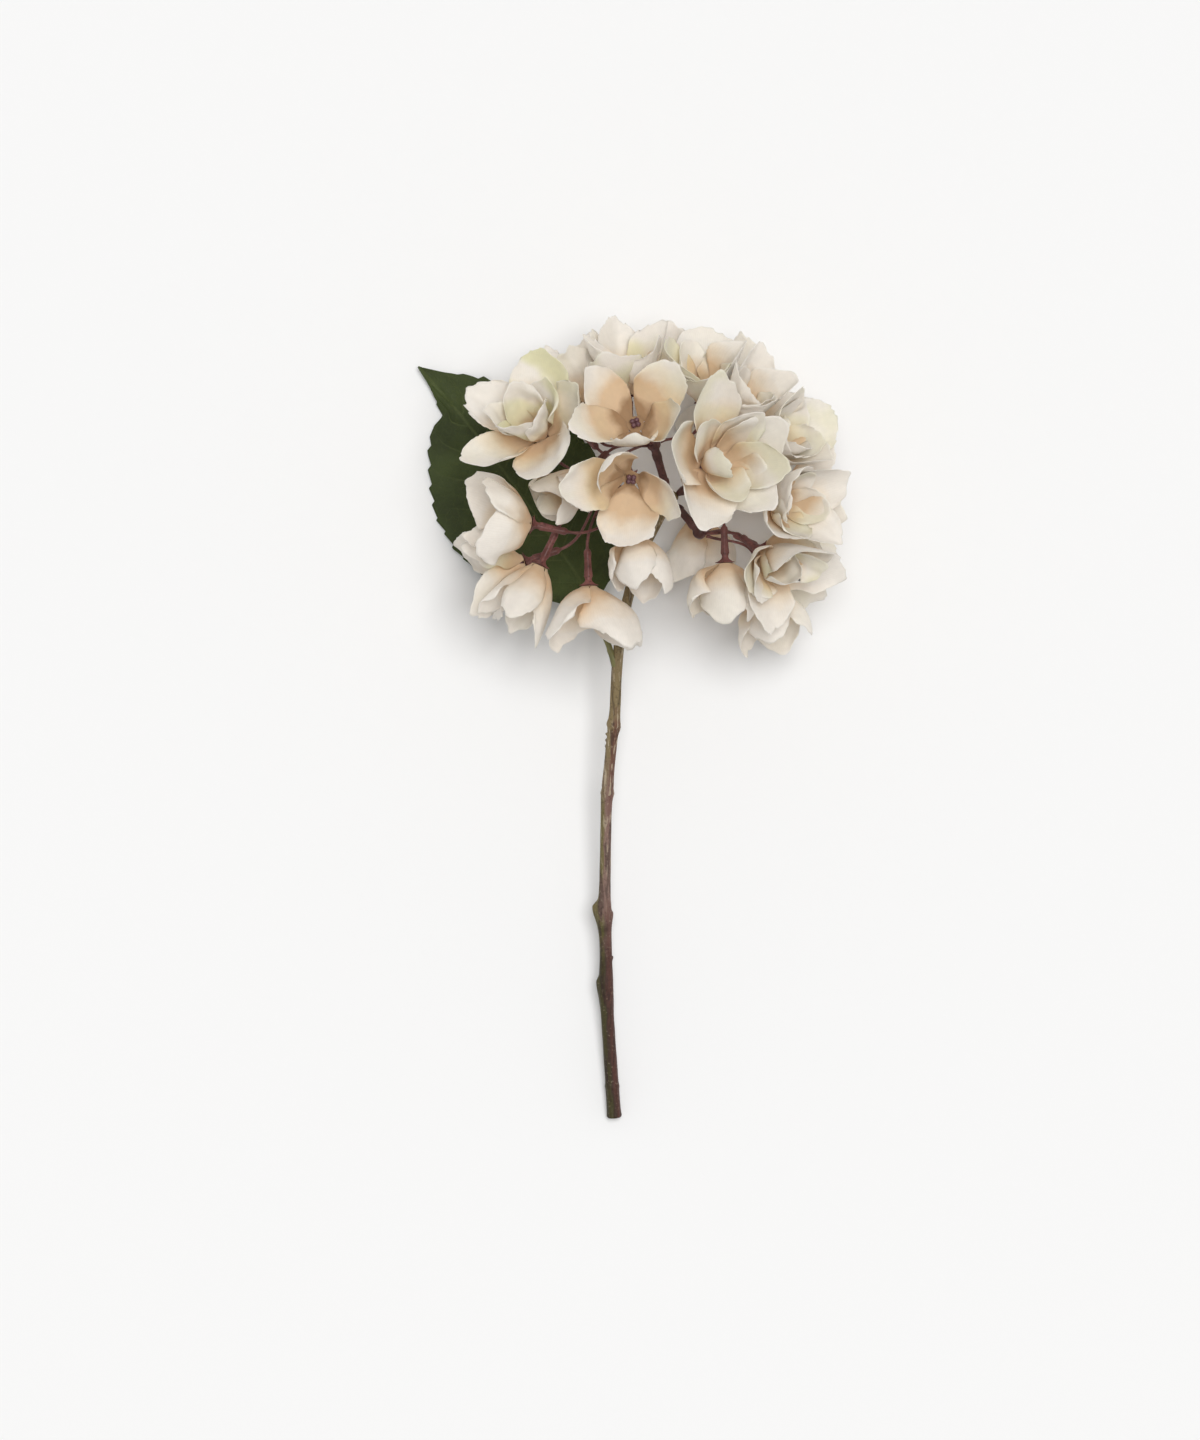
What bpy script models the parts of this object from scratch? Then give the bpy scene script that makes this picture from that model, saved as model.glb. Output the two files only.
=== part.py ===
"""A cut hydrangea lying on a flat surface: a stem with one leaf, five branches, and on the
branches the florets of the head. Every floret is a sheet of petals held on the peg of its own
pedicel.

Row frame: +Y from the cut end to the head, +Z up from the surface it lies on, X across.
Lengths are in metres; the tables of places are in millimetres. Florets and branches are measured
from the hub, where the branches leave the stem.
"""

import math

import bpy
import numpy as np
from mathutils import Matrix, Vector

MM = 0.001

# Where the flower lies: its box is centred on the origin and rests on the surface.
LAID_AT = Vector((0.56, 0.22, -0.56)) * MM

# The hub is where the branches leave the top of the stem.
HUB = Vector((16.0, 96.0, 44.0)) * MM
HUB_RADIUS = 3.9 * MM

# Stem: axis points from the cut end to the hub, and the radius at each.
STEM_BEVEL = 3
STEM_CLEARANCE = 3.0 * MM
HUB_PROFILE = [(-0.9, 2.6), (-0.5, 3.4), (0.5, 3.4), (0.9, 2.0)]
STEM = [
    # x, y, z, radius
    (-7.8, -174.7, 3.65, 3.30),
    (-8.3, -168.0, 4.8, 3.00),
    (-10.6, -134.0, 10.4, 2.80),
    (-11.4, -118.0, 13.0, 3.15),
    (-11.6, -100.0, 16.1, 2.65),
    (-12.4, -83.0, 19.0, 3.30),
    (-12.0, -74.0, 20.5, 2.55),
    (-11.4, -40.0, 26.0, 2.40),
    (-10.9, -32.0, 27.2, 2.80),
    (-10.4, -24.0, 28.4, 2.40),
    (-8.6, -6.0, 31.0, 2.40),
    (-8.2, -2.0, 31.6, 2.85),
    (-7.6, 4.0, 32.4, 2.40),
    (-6.6, 24.0, 35.2, 2.30),
    (-4.0, 44.0, 37.8, 2.30),
    (3.0, 70.0, 41.0, 2.40),
    (10.5, 86.0, 43.0, 2.60),
]

# The five branches: end of each, from the hub, in mm.
BRANCH_BEVEL = 2
BRANCH_RADIUS = 1.9 * MM
KNOB_RADIUS = 3.0 * MM
KNOB_TURNS = (30, 75, 105, 150)
JOINT_GAP = 0.35 * MM
BRANCHES = {
    "branch_left": (-28, 4, 15),
    "branch_top": (-7, 23, 10),
    "branch_right": (21, 11, 9),
    "branch_low_right": (13, -15, 5),
    "branch_low_left": (-15, -7, 18),
}

# Florets. Eye: from the hub, in mm. Facing: turn from +X about Z, and lift towards +Z, in degrees.
# Spin turns the petals about the facing. Open is the angle of the outer petals from the facing
# where they leave the eye, and bend is added to it by the tip, so a bowl has a large minus bend.
FLORETS = [
    # branch, eye, turn, lift, spin, petal length, open, bend, width share, petals, inner petals
    ("branch_left", (-56, 26, 32), 125, 52, 8, 34, 72, -24, 0.80, 5, 5),
    ("branch_top", (-15, 30, 49), 95, 74, 14, 32, 82, -38, 0.68, 5, 0),
    ("branch_top", (-18, 45, 19), 94, 24, 0, 31, 66, -36, 0.82, 5, 0),
    ("branch_top", (-36, 42, 8), 108, 12, 20, 31, 64, -36, 0.80, 5, 0),
    ("branch_top", (14, 42, 20), 80, 44, 10, 34, 76, -26, 0.84, 4, 4),
    ("branch_right", (28, 33, 26), 56, 34, 30, 31, 68, -30, 0.82, 4, 4),
    ("branch_right", (16, 13, 52), 5, 62, 5, 36, 78, -28, 0.78, 5, 5),
    ("branch_right", (41, 20, 26), 28, 42, 0, 34, 76, -28, 0.84, 4, 4),
    ("branch_right", (44, -3, 28), -4, 46, 40, 34, 80, -28, 0.84, 4, 4),
    ("branch_right", (51, 3, -3), 2, 6, 45, 31, 70, -36, 0.82, 5, 0),
    ("branch_low_right", (40, -25, 24), -42, 44, 20, 34, 80, -26, 0.84, 4, 4),
    ("branch_low_right", (41, -42, 3), -76, 2, 10, 27, 68, -78, 0.95, 4, 0),
    ("branch_low_right", (24, -29, 19), -88, 6, 4, 30, 76, -96, 1.10, 4, 0),
    ("branch_right", (13, -8, -24), -84, -30, 30, 31, 70, -36, 0.84, 4, 0),
    ("branch_left", (-17, 7, 52), -78, 64, 73, 33, 80, -36, 0.72, 4, 0),
    ("branch_top", (-38, 9, 27), -138, 24, 0, 31, 66, -34, 0.80, 5, 0),
    ("branch_low_left", (-60, -12, 31), 168, 10, 45, 31, 64, -74, 0.92, 4, 0),
    ("branch_left", (-63, -28, 5), 200, 6, 45, 30, 64, -38, 0.82, 4, 0),
    ("branch_left", (-56, -30, 18), 245, 4, 2, 31, 46, -46, 0.68, 4, 0),
    ("branch_left", (-35, -39, 22), 272, 8, 38, 32, 66, -54, 0.90, 4, 0),
    ("branch_low_left", (-13, -19, 35), -90, 20, 20, 26, 60, -90, 0.98, 4, 0),
    ("branch_top", (-4, 48, -18), 92, -24, 10, 33, 70, -36, 0.84, 4, 0),
    ("branch_right", (32, 33, -18), 45, -26, 35, 33, 70, -36, 0.84, 4, 0),
    ("branch_low_right", (41, -22, -22), -28, -30, 12, 32, 70, -36, 0.84, 4, 0),
    ("branch_top", (-42, 34, -16), 132, -14, 40, 32, 70, -36, 0.84, 4, 0),
    ("branch_right", (22, 19, -24), 70, -70, 22, 29, 74, -30, 0.84, 4, 0),
]

# Petals that stand apart from the rest of their floret: (floret, petal) and the turn added in
# degrees, the factor on the length, and what is added to the opening and to the bend.
PETAL_CHANGES = {
    (1, 1): (0, 1.15, 0, 0),
    (1, 9): (0, 1.15, 0, -10),
    (2, 1): (0, 0.92, -10, -64),
    (2, 3): (-10, 0.88, 0, 0),
    (2, 4): (10, 0.86, 0, 0),
    (15, 0): (46, 1.05, -8, -56),
    (15, 2): (0, 0.86, 0, 0),
    (7, 1): (0, 1.0, 16, 8),
    (7, 3): (0, 1.15, -4, -34),
    (7, 5): (0, 0.95, 12, 4),
    (7, 7): (0, 1.30, 12, -12),
    (7, 9): (0, 1.25, 12, -8),
    (9, 6): (0, 0.86, 0, 0),
    (11, 2): (14, 0.68, -26, 0),
    (11, 5): (0, 1.10, -14, -34),
}

# Petals. The shares set how long and how open, the inner ones against the outer ones.
SHEET = 0.6 * MM
HOLE_RADIUS = 1.05 * MM
EYE_RADIUS = 3.6 * MM
TIP_TURN = math.radians(60)
WIDEST = 0.55
LONGEST = 1.1
INNER_LENGTH_SHARE = 0.74
INNER_OPEN_SHARE = 0.56
PINWHEEL = 0.20
INNER_PINWHEEL = 0.12
INNER_WRAP = 0.8
PETAL_ACROSS = 2
PETAL_ALONG = 3
BOWL_BEND = -50

# Room for each floret: its bulk centre stands this far before the eye, and its petals are pressed
# off the planes that part it from what is round it, in passes from soft to sharp.
BULK = 12.0 * MM
CLEAR = SHEET / 2 + 0.25 * MM
SOFTNESSES = [4.0 * MM, 2.0 * MM, 1.0 * MM, 0.5 * MM, 0.25 * MM]
FIT_SHARES = [1.0, 0.92, 0.84, 0.76, 0.68, 0.6, 0.52]
FIT_PRESS = 5.0 * MM
REACH = 90.0 * MM
PEDICEL_NEAR = 18.0 * MM
PEDICEL_CLEARANCE = 2.2 * MM
DOUBLE_ROOM = 1.12
OVER_LEAF_X = HUB.x - 20.0 * MM
OVER_LEAF_Z = 9.0 * MM

# Pedicels: distance along the facing from the eye, and radius, in mm.
PEDICEL_BEVEL = 1
PEDICEL_RADIUS = 0.75 * MM
PEDICEL_BEND_POINTS = 5
SLEEVE_START = 16.5 * MM
PEG = [
    (-16.0, 2.0),
    (-4.6, 2.2),
    (-2.6, 1.4),
    (-0.66, 2.9),
    (-0.60, 0.7),
    (0.60, 0.7),
    (0.66, 2.2),
    (2.2, 2.6),
    (3.4, 1.4),
]

# Leaf: midrib points from the blade's base to its tip, mm in the row frame, and the half
# widths of the blade at shares of its length.
LEAF_SHEET = 0.7 * MM
LEAF_ALONG = 12
LEAF_ACROSS = 4
LEAF_MIDRIB = [
    (-17.6, 51.0, 25.0),
    (-22.5, 60.5, 19.5),
    (-30.0, 71.5, 13.5),
    (-39.0, 84.5, 8.5),
    (-52.0, 103.0, 4.5),
    (-66.0, 122.0, 3.4),
    (-80.0, 139.5, 2.8),
    (-94.0, 155.0, 5.0),
]
LEAF_HALF_WIDTHS = [
    # share of the length, half width to the left and to the right
    (0.00, 3.0, 3.0),
    (0.05, 13.0, 13.0),
    (0.15, 25.0, 25.0),
    (0.28, 33.5, 33.5),
    (0.43, 37.6, 37.4),
    (0.56, 36.0, 35.5),
    (0.66, 29.6, 30.5),
    (0.74, 22.2, 25.0),
    (0.79, 16.5, 21.0),
    (0.825, 6.4, 18.4),
    (0.89, 3.9, 11.3),
    (1.00, 0.8, 0.8),
]
LEAF_DROOP = 0.07
PETIOLE_JOINT = Vector((-10.4, 22.5, 36.2)) * MM
PETIOLE_RADII = [1.3, 1.25, 1.2, 1.1, 1.05, 0.95]
MIDRIB_RADIUS = 0.95 * MM
MIDRIB_END_SHARE = 0.80


# Colours
PETAL_COLOUR = (0.88, 0.81, 0.70)
PEDICEL_COLOUR = (0.36, 0.16, 0.15)
BRANCH_COLOUR = (0.27, 0.12, 0.11)
STEM_COLOUR = (0.30, 0.24, 0.15)
BLADE_COLOUR = (0.08, 0.15, 0.05)
PETIOLE_COLOUR = (0.33, 0.36, 0.12)


def place(name, data, matrix, colour, roughness):
    """Link an object of this name with its own material, placed in the resting frame."""
    obj = bpy.data.objects.new(name, data)
    bpy.context.scene.collection.objects.link(obj)
    material = bpy.data.materials.new(name)
    material.use_nodes = True
    shader = material.node_tree.nodes["Principled BSDF"]
    shader.inputs["Base Color"].default_value = (*colour, 1.0)
    shader.inputs["Roughness"].default_value = roughness
    shader.inputs["Metallic"].default_value = 0.0
    data.materials.append(material)
    obj.parent = bpy.data.objects["resting_frame"]
    obj.matrix_basis = matrix
    return obj


def sheet_object(name, points, faces, matrix, thickness, colour, roughness):
    """A sheet given by its middle surface, made as thick as asked to both sides."""
    back = np.array(matrix.inverted())
    local = points @ back[:3, :3].T + back[:3, 3]
    mesh = bpy.data.meshes.new(name)
    mesh.from_pydata(local.tolist(), [], [tuple(int(i) for i in f) for f in faces])
    mesh.shade_smooth()
    obj = place(name, mesh, matrix, colour, roughness)
    thick = obj.modifiers.new("thickness", "SOLIDIFY")
    thick.thickness = thickness
    thick.offset = 0.0
    return obj


def direction(turn, lift):
    """Unit vector from a turn about Z and a lift towards +Z, in degrees."""
    turn, lift = math.radians(turn), math.radians(lift)
    return Vector((math.cos(turn) * math.cos(lift), math.sin(turn) * math.cos(lift), math.sin(lift)))


def floret_frame(floret):
    """Matrix whose origin is the eye and whose Z is the facing, turned by the spin."""
    eye, turn, lift, spin = floret[1:5]
    facing = direction(turn, lift)
    side = Vector((-math.sin(math.radians(turn)), math.cos(math.radians(turn)), 0.0))
    up = facing.cross(side)
    matrix = Matrix((side, up, facing)).transposed().to_4x4()
    matrix.translation = HUB + Vector(eye) * MM
    return matrix @ Matrix.Rotation(math.radians(spin), 4, "Z")


def petal_surface(petal, across, along):
    """Grid of points of one petal, shape (along + 1, across + 1, 3), in the floret's frame.

    The outline is a claw that widens along a sine to the widest place, then half an ellipse.
    The midrib leaves the eye at the petal's opening angle and bends evenly. Each cross
    section is an arc about it, tilted so that neighbours overlap like a pinwheel.
    """
    s = np.linspace(0.0, 1.0, along + 1)[:, None]
    t = np.linspace(-1.0, 1.0, across + 1)[None, :]
    fine = np.linspace(0.0, LONGEST, 73)
    angle = np.radians(petal["open"] + petal["bend"] * fine + petal["curl"] * fine**4)
    step = petal["length"] * fine[1]
    out = np.concatenate([[0.0], np.cumsum((np.sin(angle)[1:] + np.sin(angle)[:-1]) / 2 * step)])
    up = np.concatenate([[0.0], np.cumsum((np.cos(angle)[1:] + np.cos(angle)[:-1]) / 2 * step)])
    # each row bows like the tip of the ellipse, which has a small point in its middle
    bow = (1 - np.cos(TIP_TURN * t)) / (1 - math.cos(TIP_TURN))
    aside = np.sin(TIP_TURN * t) / math.sin(TIP_TURN)
    tip_drop = (1 - WIDEST) * (1 - math.cos(TIP_TURN))
    run = s * (1 - tip_drop * bow) + petal["point"] * np.exp(-((t / 0.3) ** 2)) * s**6 * 0.6
    run = np.clip(run, 0.0, LONGEST)
    place = s * (1 - tip_drop)
    before = np.sin(np.pi / 2 * np.minimum(1, place / WIDEST)) ** 0.8
    after = np.sqrt(1 - np.maximum(0, (place - WIDEST) / (1 - WIDEST)) ** 2)
    out_at = np.interp(run, fine, out) + EYE_RADIUS
    up_at = np.interp(run, fine, up)
    angle_at = np.interp(run, fine, angle)
    base_half = EYE_RADIUS * math.sin(petal["base_arc"])
    half = base_half * (1 - s) ** 2 + petal["width"] / 2 * before * after
    wrap = petal["wrap"] * half * np.maximum(0.0, np.cos(angle_at)) / out_at
    arc = np.minimum(petal["cup"] * (1.0 - 0.3 * s) + wrap, 1.5)
    across_at = half * np.sin(arc * aside) / arc
    wave = np.sin(2 * np.pi * (1.3 * s + petal["phase"])) * aside * np.abs(aside)
    inward = half * (1 - np.cos(arc * aside)) / arc + petal["ruffle"] * half * wave
    inward = inward + petal["pinwheel"] * aside * half * np.minimum(1, 2.5 * s)
    radial = out_at - np.cos(angle_at) * inward
    axial = up_at + np.sin(angle_at) * inward
    turn = petal["turn"]
    points = np.stack(
        [
            radial * math.cos(turn) - across_at * math.sin(turn),
            radial * math.sin(turn) + across_at * math.cos(turn),
            axial + 0 * across_at,
        ],
        axis=2,
    )
    base_turn = turn + petal["base_arc"] * t[0]
    points[0, :, 0] = EYE_RADIUS * np.cos(base_turn)
    points[0, :, 1] = EYE_RADIUS * np.sin(base_turn)
    points[0, :, 2] = 0.0
    return points


def petals_of(index, floret):
    """The petals of a floret in order round its eye, outer and inner ones in turn."""
    length, opening, bend, width_share, outer, inner = floret[5:11]
    random = np.random.default_rng(100 + index)
    is_bowl = bend < BOWL_BEND
    count = outer + inner
    petals = []
    for k in range(count):
        is_inner = inner > 0 and k % 2 == 1
        size = INNER_LENGTH_SHARE if is_inner else 1.0
        draw = random.uniform(-1.0, 1.0, 8)
        petal_length = length * MM * size * (1 + 0.08 * draw[0])
        base_share = 0.42 if inner == 0 else (0.38 if is_inner else 0.48)
        petals.append(
            {
                "turn": 2 * math.pi * k / count + math.radians(5) * draw[1],
                "base_arc": 2 * math.pi / count * base_share,
                "length": petal_length,
                "width": petal_length * width_share * (1 + 0.08 * draw[2]),
                "open": opening * (INNER_OPEN_SHARE if is_inner else 1.0) + 8 * draw[3],
                "bend": bend + (-12 if is_inner else 0) + 10 * draw[4],
                "curl": (2 if is_bowl else 14) + 14 * draw[5],
                "point": 0.11 + 0.08 * draw[6],
                "cup": (0.15 if is_bowl else 0.40) + 0.15 * draw[7],
                "pinwheel": INNER_PINWHEEL if is_inner else PINWHEEL,
                "wrap": INNER_WRAP if is_inner else 1.0,
                "ruffle": 0.12 + 0.08 * draw[3],
                "phase": 0.5 * draw[5],
            }
        )
        turned, factor, opened, bent = PETAL_CHANGES.get((index + 1, k), (0, 1.0, 0, 0))
        petals[k]["turn"] += math.radians(turned)
        petals[k]["length"] *= factor
        petals[k]["open"] += opened
        petals[k]["bend"] += bent
    return petals


def centre_of(floret):
    """Middle of the space that the floret's petals fill."""
    return HUB + Vector(floret[1]) * MM + direction(floret[2], floret[3]) * BULK


def size_of(floret):
    """How much room a floret takes against its neighbours; double ones take more."""
    return floret[5] * (DOUBLE_ROOM if floret[10] else 1.0)


def nearest_on(line, point):
    """The point of a line of straight pieces that is nearest to a point."""
    best = None
    for a, b in zip(line, line[1:]):
        share = max(0.0, min(1.0, (point - a).dot(b - a) / (b - a).length_squared))
        near = a.lerp(b, share)
        if best is None or (point - near).length < (point - best).length:
            best = near
    return best


def planes_round(index):
    """Planes that the floret's petals are pressed against: its neighbours, the stem, the leaf and
    the surface. Each is (point, normal towards the floret, clearance)."""
    own = centre_of(FLORETS[index])
    planes = []
    for other, floret in enumerate(FLORETS):
        gap = own - centre_of(floret)
        if other != index and gap.length < REACH:
            share = size_of(FLORETS[index]) / (size_of(FLORETS[index]) + size_of(floret))
            planes.append((own - gap * share, gap.normalized(), CLEAR))
    near = nearest_on([Vector(p[:3]) * MM for p in STEM], own)
    planes.append((near, (own - near).normalized(), STEM_CLEARANCE + CLEAR))
    for other in range(len(FLORETS)):
        if other != index:
            line, _ = pedicel_line(FLORETS[other])
            near = nearest_on(line, own)
            if (own - near).length < PEDICEL_NEAR:
                planes.append((near, (own - near).normalized(), PEDICEL_CLEARANCE + CLEAR))
    if own.x < OVER_LEAF_X:
        planes.append((Vector((0, 0, OVER_LEAF_Z)), Vector((0, 0, 1)), CLEAR))
    planes.append((Vector((0, 0, 0)), Vector((0, 0, 1)), SHEET / 2 + 0.05 * MM))
    return planes


def pressed(points, planes):
    """Points moved off the far side of each plane, smoothly and in order, so no sheet crosses."""
    points = points.copy()
    for softness in SOFTNESSES:
        for origin, normal, clearance in planes:
            normal = np.array(normal)
            depth = (points - np.array(origin)) @ normal
            edge = clearance + softness
            over = np.minimum(0.0, (depth - edge) / softness)
            target = np.where(depth < edge, clearance + softness * np.exp(over), depth)
            points = points + (target - depth)[:, None] * normal
    return points


def fitted_petals(index):
    """The petals of a floret, each closed just enough that its neighbours press it little."""
    frame = np.array(floret_frame(FLORETS[index]))
    planes = planes_round(index)
    petals = petals_of(index, FLORETS[index])
    for petal in petals:
        opening = petal["open"]
        for share in FIT_SHARES:
            petal["open"] = opening * share
            grid = petal_surface(petal, 4, 6).reshape(-1, 3) @ frame[:3, :3].T + frame[:3, 3]
            if np.linalg.norm(pressed(grid, planes) - grid, axis=1).max() < FIT_PRESS:
                break
    return petals


def floret_sheet(index, across, along):
    """Points and faces of the floret's sheet in the row frame: a ring round the peg, then petals."""
    petals = fitted_petals(index)
    frame = np.array(floret_frame(FLORETS[index]))
    grids = [petal_surface(p, across, along) for p in petals]
    ring = np.concatenate([g[0] for g in grids])
    hole = ring * (HOLE_RADIUS / EYE_RADIUS)
    count = len(ring)
    points = [hole]
    faces = []
    start = count
    rows_of = []
    for grid in grids:
        rows = np.arange(grid.shape[0] * grid.shape[1]).reshape(grid.shape[:2]) + start
        rows_of.append(rows)
        points.append(grid.reshape(-1, 3))
        start += rows.size
        for i in range(along):
            for j in range(across):
                faces.append((rows[i, j], rows[i + 1, j], rows[i + 1, j + 1], rows[i, j + 1]))
    ring_index = np.concatenate([rows[0] for rows in rows_of])
    for i in range(count):
        j = (i + 1) % count
        faces.append((i, ring_index[i], ring_index[j], j))
    points = np.concatenate(points) @ frame[:3, :3].T + frame[:3, 3]
    return pressed(points, planes_round(index)), faces


def make_floret(index):
    """One floret's petals, with a hole at the eye for the peg."""
    points, faces = floret_sheet(index, PETAL_ACROSS, PETAL_ALONG)
    frame = floret_frame(FLORETS[index])
    return sheet_object(f"floret_{index + 1:02d}", points, faces, frame, SHEET, PETAL_COLOUR, 0.8)


def tube(name, points, radii, bevel, colour, roughness):
    """A tube along points with a radius at each and 4 + 2 * bevel sides, placed at its start."""
    curve = bpy.data.curves.new(name, "CURVE")
    curve.dimensions = "3D"
    curve.bevel_depth = 1.0
    curve.bevel_resolution = bevel
    curve.use_fill_caps = True
    curve.twist_mode = "MINIMUM"
    spline = curve.splines.new("POLY")
    spline.points.add(len(points) - 1)
    for node, point, radius in zip(spline.points, points, radii):
        node.co = (*(point - points[0]), 1.0)
        node.radius = radius
    spline.use_smooth = True
    return place(name, curve, Matrix.Translation(points[0]), colour, roughness)


def bezier(a, b, c, d, count):
    """Points of a cubic from a to d, its ends included."""
    found = []
    for i in range(count):
        t = i / (count - 1)
        found.append(a * (1 - t) ** 3 + b * 3 * t * (1 - t) ** 2 + c * 3 * t**2 * (1 - t) + d * t**3)
    return found


def knob_of(branch):
    """Centre of the knob at a branch's end, which its pedicels grow from."""
    return HUB + Vector(BRANCHES[branch]) * MM


def make_branch(name):
    """A branch from beside the hub to its round knob."""
    knob = knob_of(name)
    along = (knob - HUB).normalized()
    start = HUB + along * (HUB_RADIUS + JOINT_GAP)
    end = knob - along * KNOB_RADIUS
    points = [start, start.lerp(end, 0.25), start.lerp(end, 0.3), end]
    radii = [BRANCH_RADIUS * 0.58, BRANCH_RADIUS * 0.8, BRANCH_RADIUS, BRANCH_RADIUS]
    for turn in KNOB_TURNS:
        points.append(knob - along * KNOB_RADIUS * math.cos(math.radians(turn)))
        radii.append(KNOB_RADIUS * math.sin(math.radians(turn)))
    return tube(name, points, radii, BRANCH_BEVEL, BRANCH_COLOUR, 0.5)


def pedicel_line(floret):
    """Axis points and radii of a pedicel: a bend out of the knob, then the sleeve, calyx and peg."""
    knob = knob_of(floret[0])
    eye = HUB + Vector(floret[1]) * MM
    facing = direction(floret[2], floret[3])
    sleeve = eye - facing * SLEEVE_START
    reach = (sleeve - knob).length
    out = (sleeve - knob).normalized()
    start = knob + out * (KNOB_RADIUS + JOINT_GAP)
    leaving = start + out * reach * 0.3
    arriving = sleeve - facing * reach * 0.35
    points = bezier(start, leaving, arriving, sleeve, PEDICEL_BEND_POINTS)
    radii = [PEDICEL_RADIUS] * len(points)
    for distance, radius in PEG:
        points.append(eye + facing * distance * MM)
        radii.append(radius * MM)
    return points, radii


def make_pedicel(index):
    """A floret's pedicel in one piece with its sleeve, calyx, peg and bead."""
    points, radii = pedicel_line(FLORETS[index])
    return tube(f"pedicel_{index + 1:02d}", points, radii, PEDICEL_BEVEL, PEDICEL_COLOUR, 0.5)


def make_stem():
    """The stem from its cut end through its swollen nodes to the hub."""
    points = [Vector(p[:3]) * MM for p in STEM]
    radii = [p[3] * MM for p in STEM]
    along = (HUB - points[-1]).normalized()
    for share, radius in HUB_PROFILE:
        points.append(HUB + along * HUB_RADIUS * share)
        radii.append(radius * MM)
    return tube("stem", points, radii, STEM_BEVEL, STEM_COLOUR, 0.7)


def midrib_at(shares):
    """Points of the blade's midrib at shares of its length."""
    rib = np.array(LEAF_MIDRIB) * MM
    run = np.concatenate([[0.0], np.cumsum(np.linalg.norm(np.diff(rib, axis=0), axis=1))])
    run /= run[-1]
    return np.stack([np.interp(shares, run, rib[:, k]) for k in range(3)], axis=1)


def blade_surface(across, along):
    """Grid of points of the blade, shape (along + 1, across + 1, 3): rows level across the
    midrib, as wide as the outline there, drooping to each side."""
    s = np.linspace(0.0, 1.0, along + 1)
    t = np.linspace(-1.0, 1.0, across + 1)
    centre = midrib_at(s)
    tangent = np.gradient(midrib_at(s), axis=0)
    side = np.cross([0.0, 0.0, 1.0], tangent)
    side /= np.linalg.norm(side, axis=1)[:, None]
    shares, left, right = np.array(LEAF_HALF_WIDTHS).T
    half_left = np.interp(s, shares, left)[:, None] * MM
    half_right = np.interp(s, shares, right)[:, None] * MM
    half = np.where(t[None, :] > 0, half_left, half_right)
    points = centre[:, None, :] + side[:, None, :] * (half * t[None, :])[:, :, None]
    points[:, :, 2] -= LEAF_DROOP * half * np.abs(t)[None, :]
    points[:, :, 2] = np.maximum(points[:, :, 2], LEAF_SHEET / 2 + 0.1 * MM)
    return points


def make_leaf_blade():
    """The blade of the leaf, from the petiole under the head out to its tip."""
    points = blade_surface(LEAF_ACROSS, LEAF_ALONG)
    faces = []
    for i in range(LEAF_ALONG):
        for j in range(LEAF_ACROSS):
            a = i * (LEAF_ACROSS + 1) + j
            faces.append((a, a + 1, a + LEAF_ACROSS + 2, a + LEAF_ACROSS + 1))
    points = points.reshape(-1, 3)
    base = Matrix.Translation(Vector(LEAF_MIDRIB[0]) * MM)
    return sheet_object("leaf_blade", points, faces, base, LEAF_SHEET, BLADE_COLOUR, 0.5)


def make_leaf_petiole():
    """The petiole from the stem to the blade, going on under the blade as its midrib."""
    shares = np.linspace(0.0, MIDRIB_END_SHARE, 9)
    rib_radii = MIDRIB_RADIUS * (1.0 - 0.68 * shares / MIDRIB_END_SHARE)
    under = [Vector(p) for p in midrib_at(shares)]
    for point, radius in zip(under, rib_radii):
        point.z -= LEAF_SHEET / 2 + radius + JOINT_GAP
    under[0].z -= JOINT_GAP
    leaving = PETIOLE_JOINT + Vector((-2, 8, 2)) * MM
    arriving = under[0] + Vector((1, -9, 5)) * MM
    points = bezier(PETIOLE_JOINT, leaving, arriving, under[0], len(PETIOLE_RADII))
    radii = [r * MM for r in PETIOLE_RADII] + list(rib_radii[1:])
    return tube("leaf_petiole", points + under[1:], radii, BRANCH_BEVEL, PETIOLE_COLOUR, 0.6)


def main():
    """Clear the file, then make every piece under one resting frame."""
    for obj in list(bpy.data.objects):
        bpy.data.objects.remove(obj)
    frame = bpy.data.objects.new("resting_frame", None)
    bpy.context.scene.collection.objects.link(frame)
    frame.location = LAID_AT
    make_stem()
    make_leaf_blade()
    make_leaf_petiole()
    for name in BRANCHES:
        make_branch(name)
    for index in range(len(FLORETS)):
        make_floret(index)
        make_pedicel(index)


main()
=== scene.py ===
"""The looks of a cut hydrangea that lies on a pale floor: cloth florets on moulded stalks, a coated
stem and a cloth leaf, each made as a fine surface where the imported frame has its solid.

Row frame: +Y from the cut end to the head, +Z up from the floor, X across. Lengths are in metres,
and the tables of places are in millimetres. Florets and branches are measured from the hub.
"""

import math

import bpy
import numpy as np
from bpy.props import FloatProperty, FloatVectorProperty, IntProperty, PointerProperty
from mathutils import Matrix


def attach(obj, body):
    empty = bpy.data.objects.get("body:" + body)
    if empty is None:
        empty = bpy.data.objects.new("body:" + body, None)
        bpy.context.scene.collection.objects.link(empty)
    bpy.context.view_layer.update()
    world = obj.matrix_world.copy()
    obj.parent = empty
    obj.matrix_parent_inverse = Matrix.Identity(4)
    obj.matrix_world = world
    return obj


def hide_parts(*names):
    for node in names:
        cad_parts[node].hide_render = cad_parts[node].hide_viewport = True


bl_info = {
    "name": "Cut hydrangea",
    "version": (1, 0, 0),
    "blender": (4, 5, 0),
    "location": "3D View > Sidebar > Hydrangea",
    "description": "Makes the finished surfaces of a cut hydrangea round its packed frame",
    "category": "Add Mesh",
}

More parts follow.
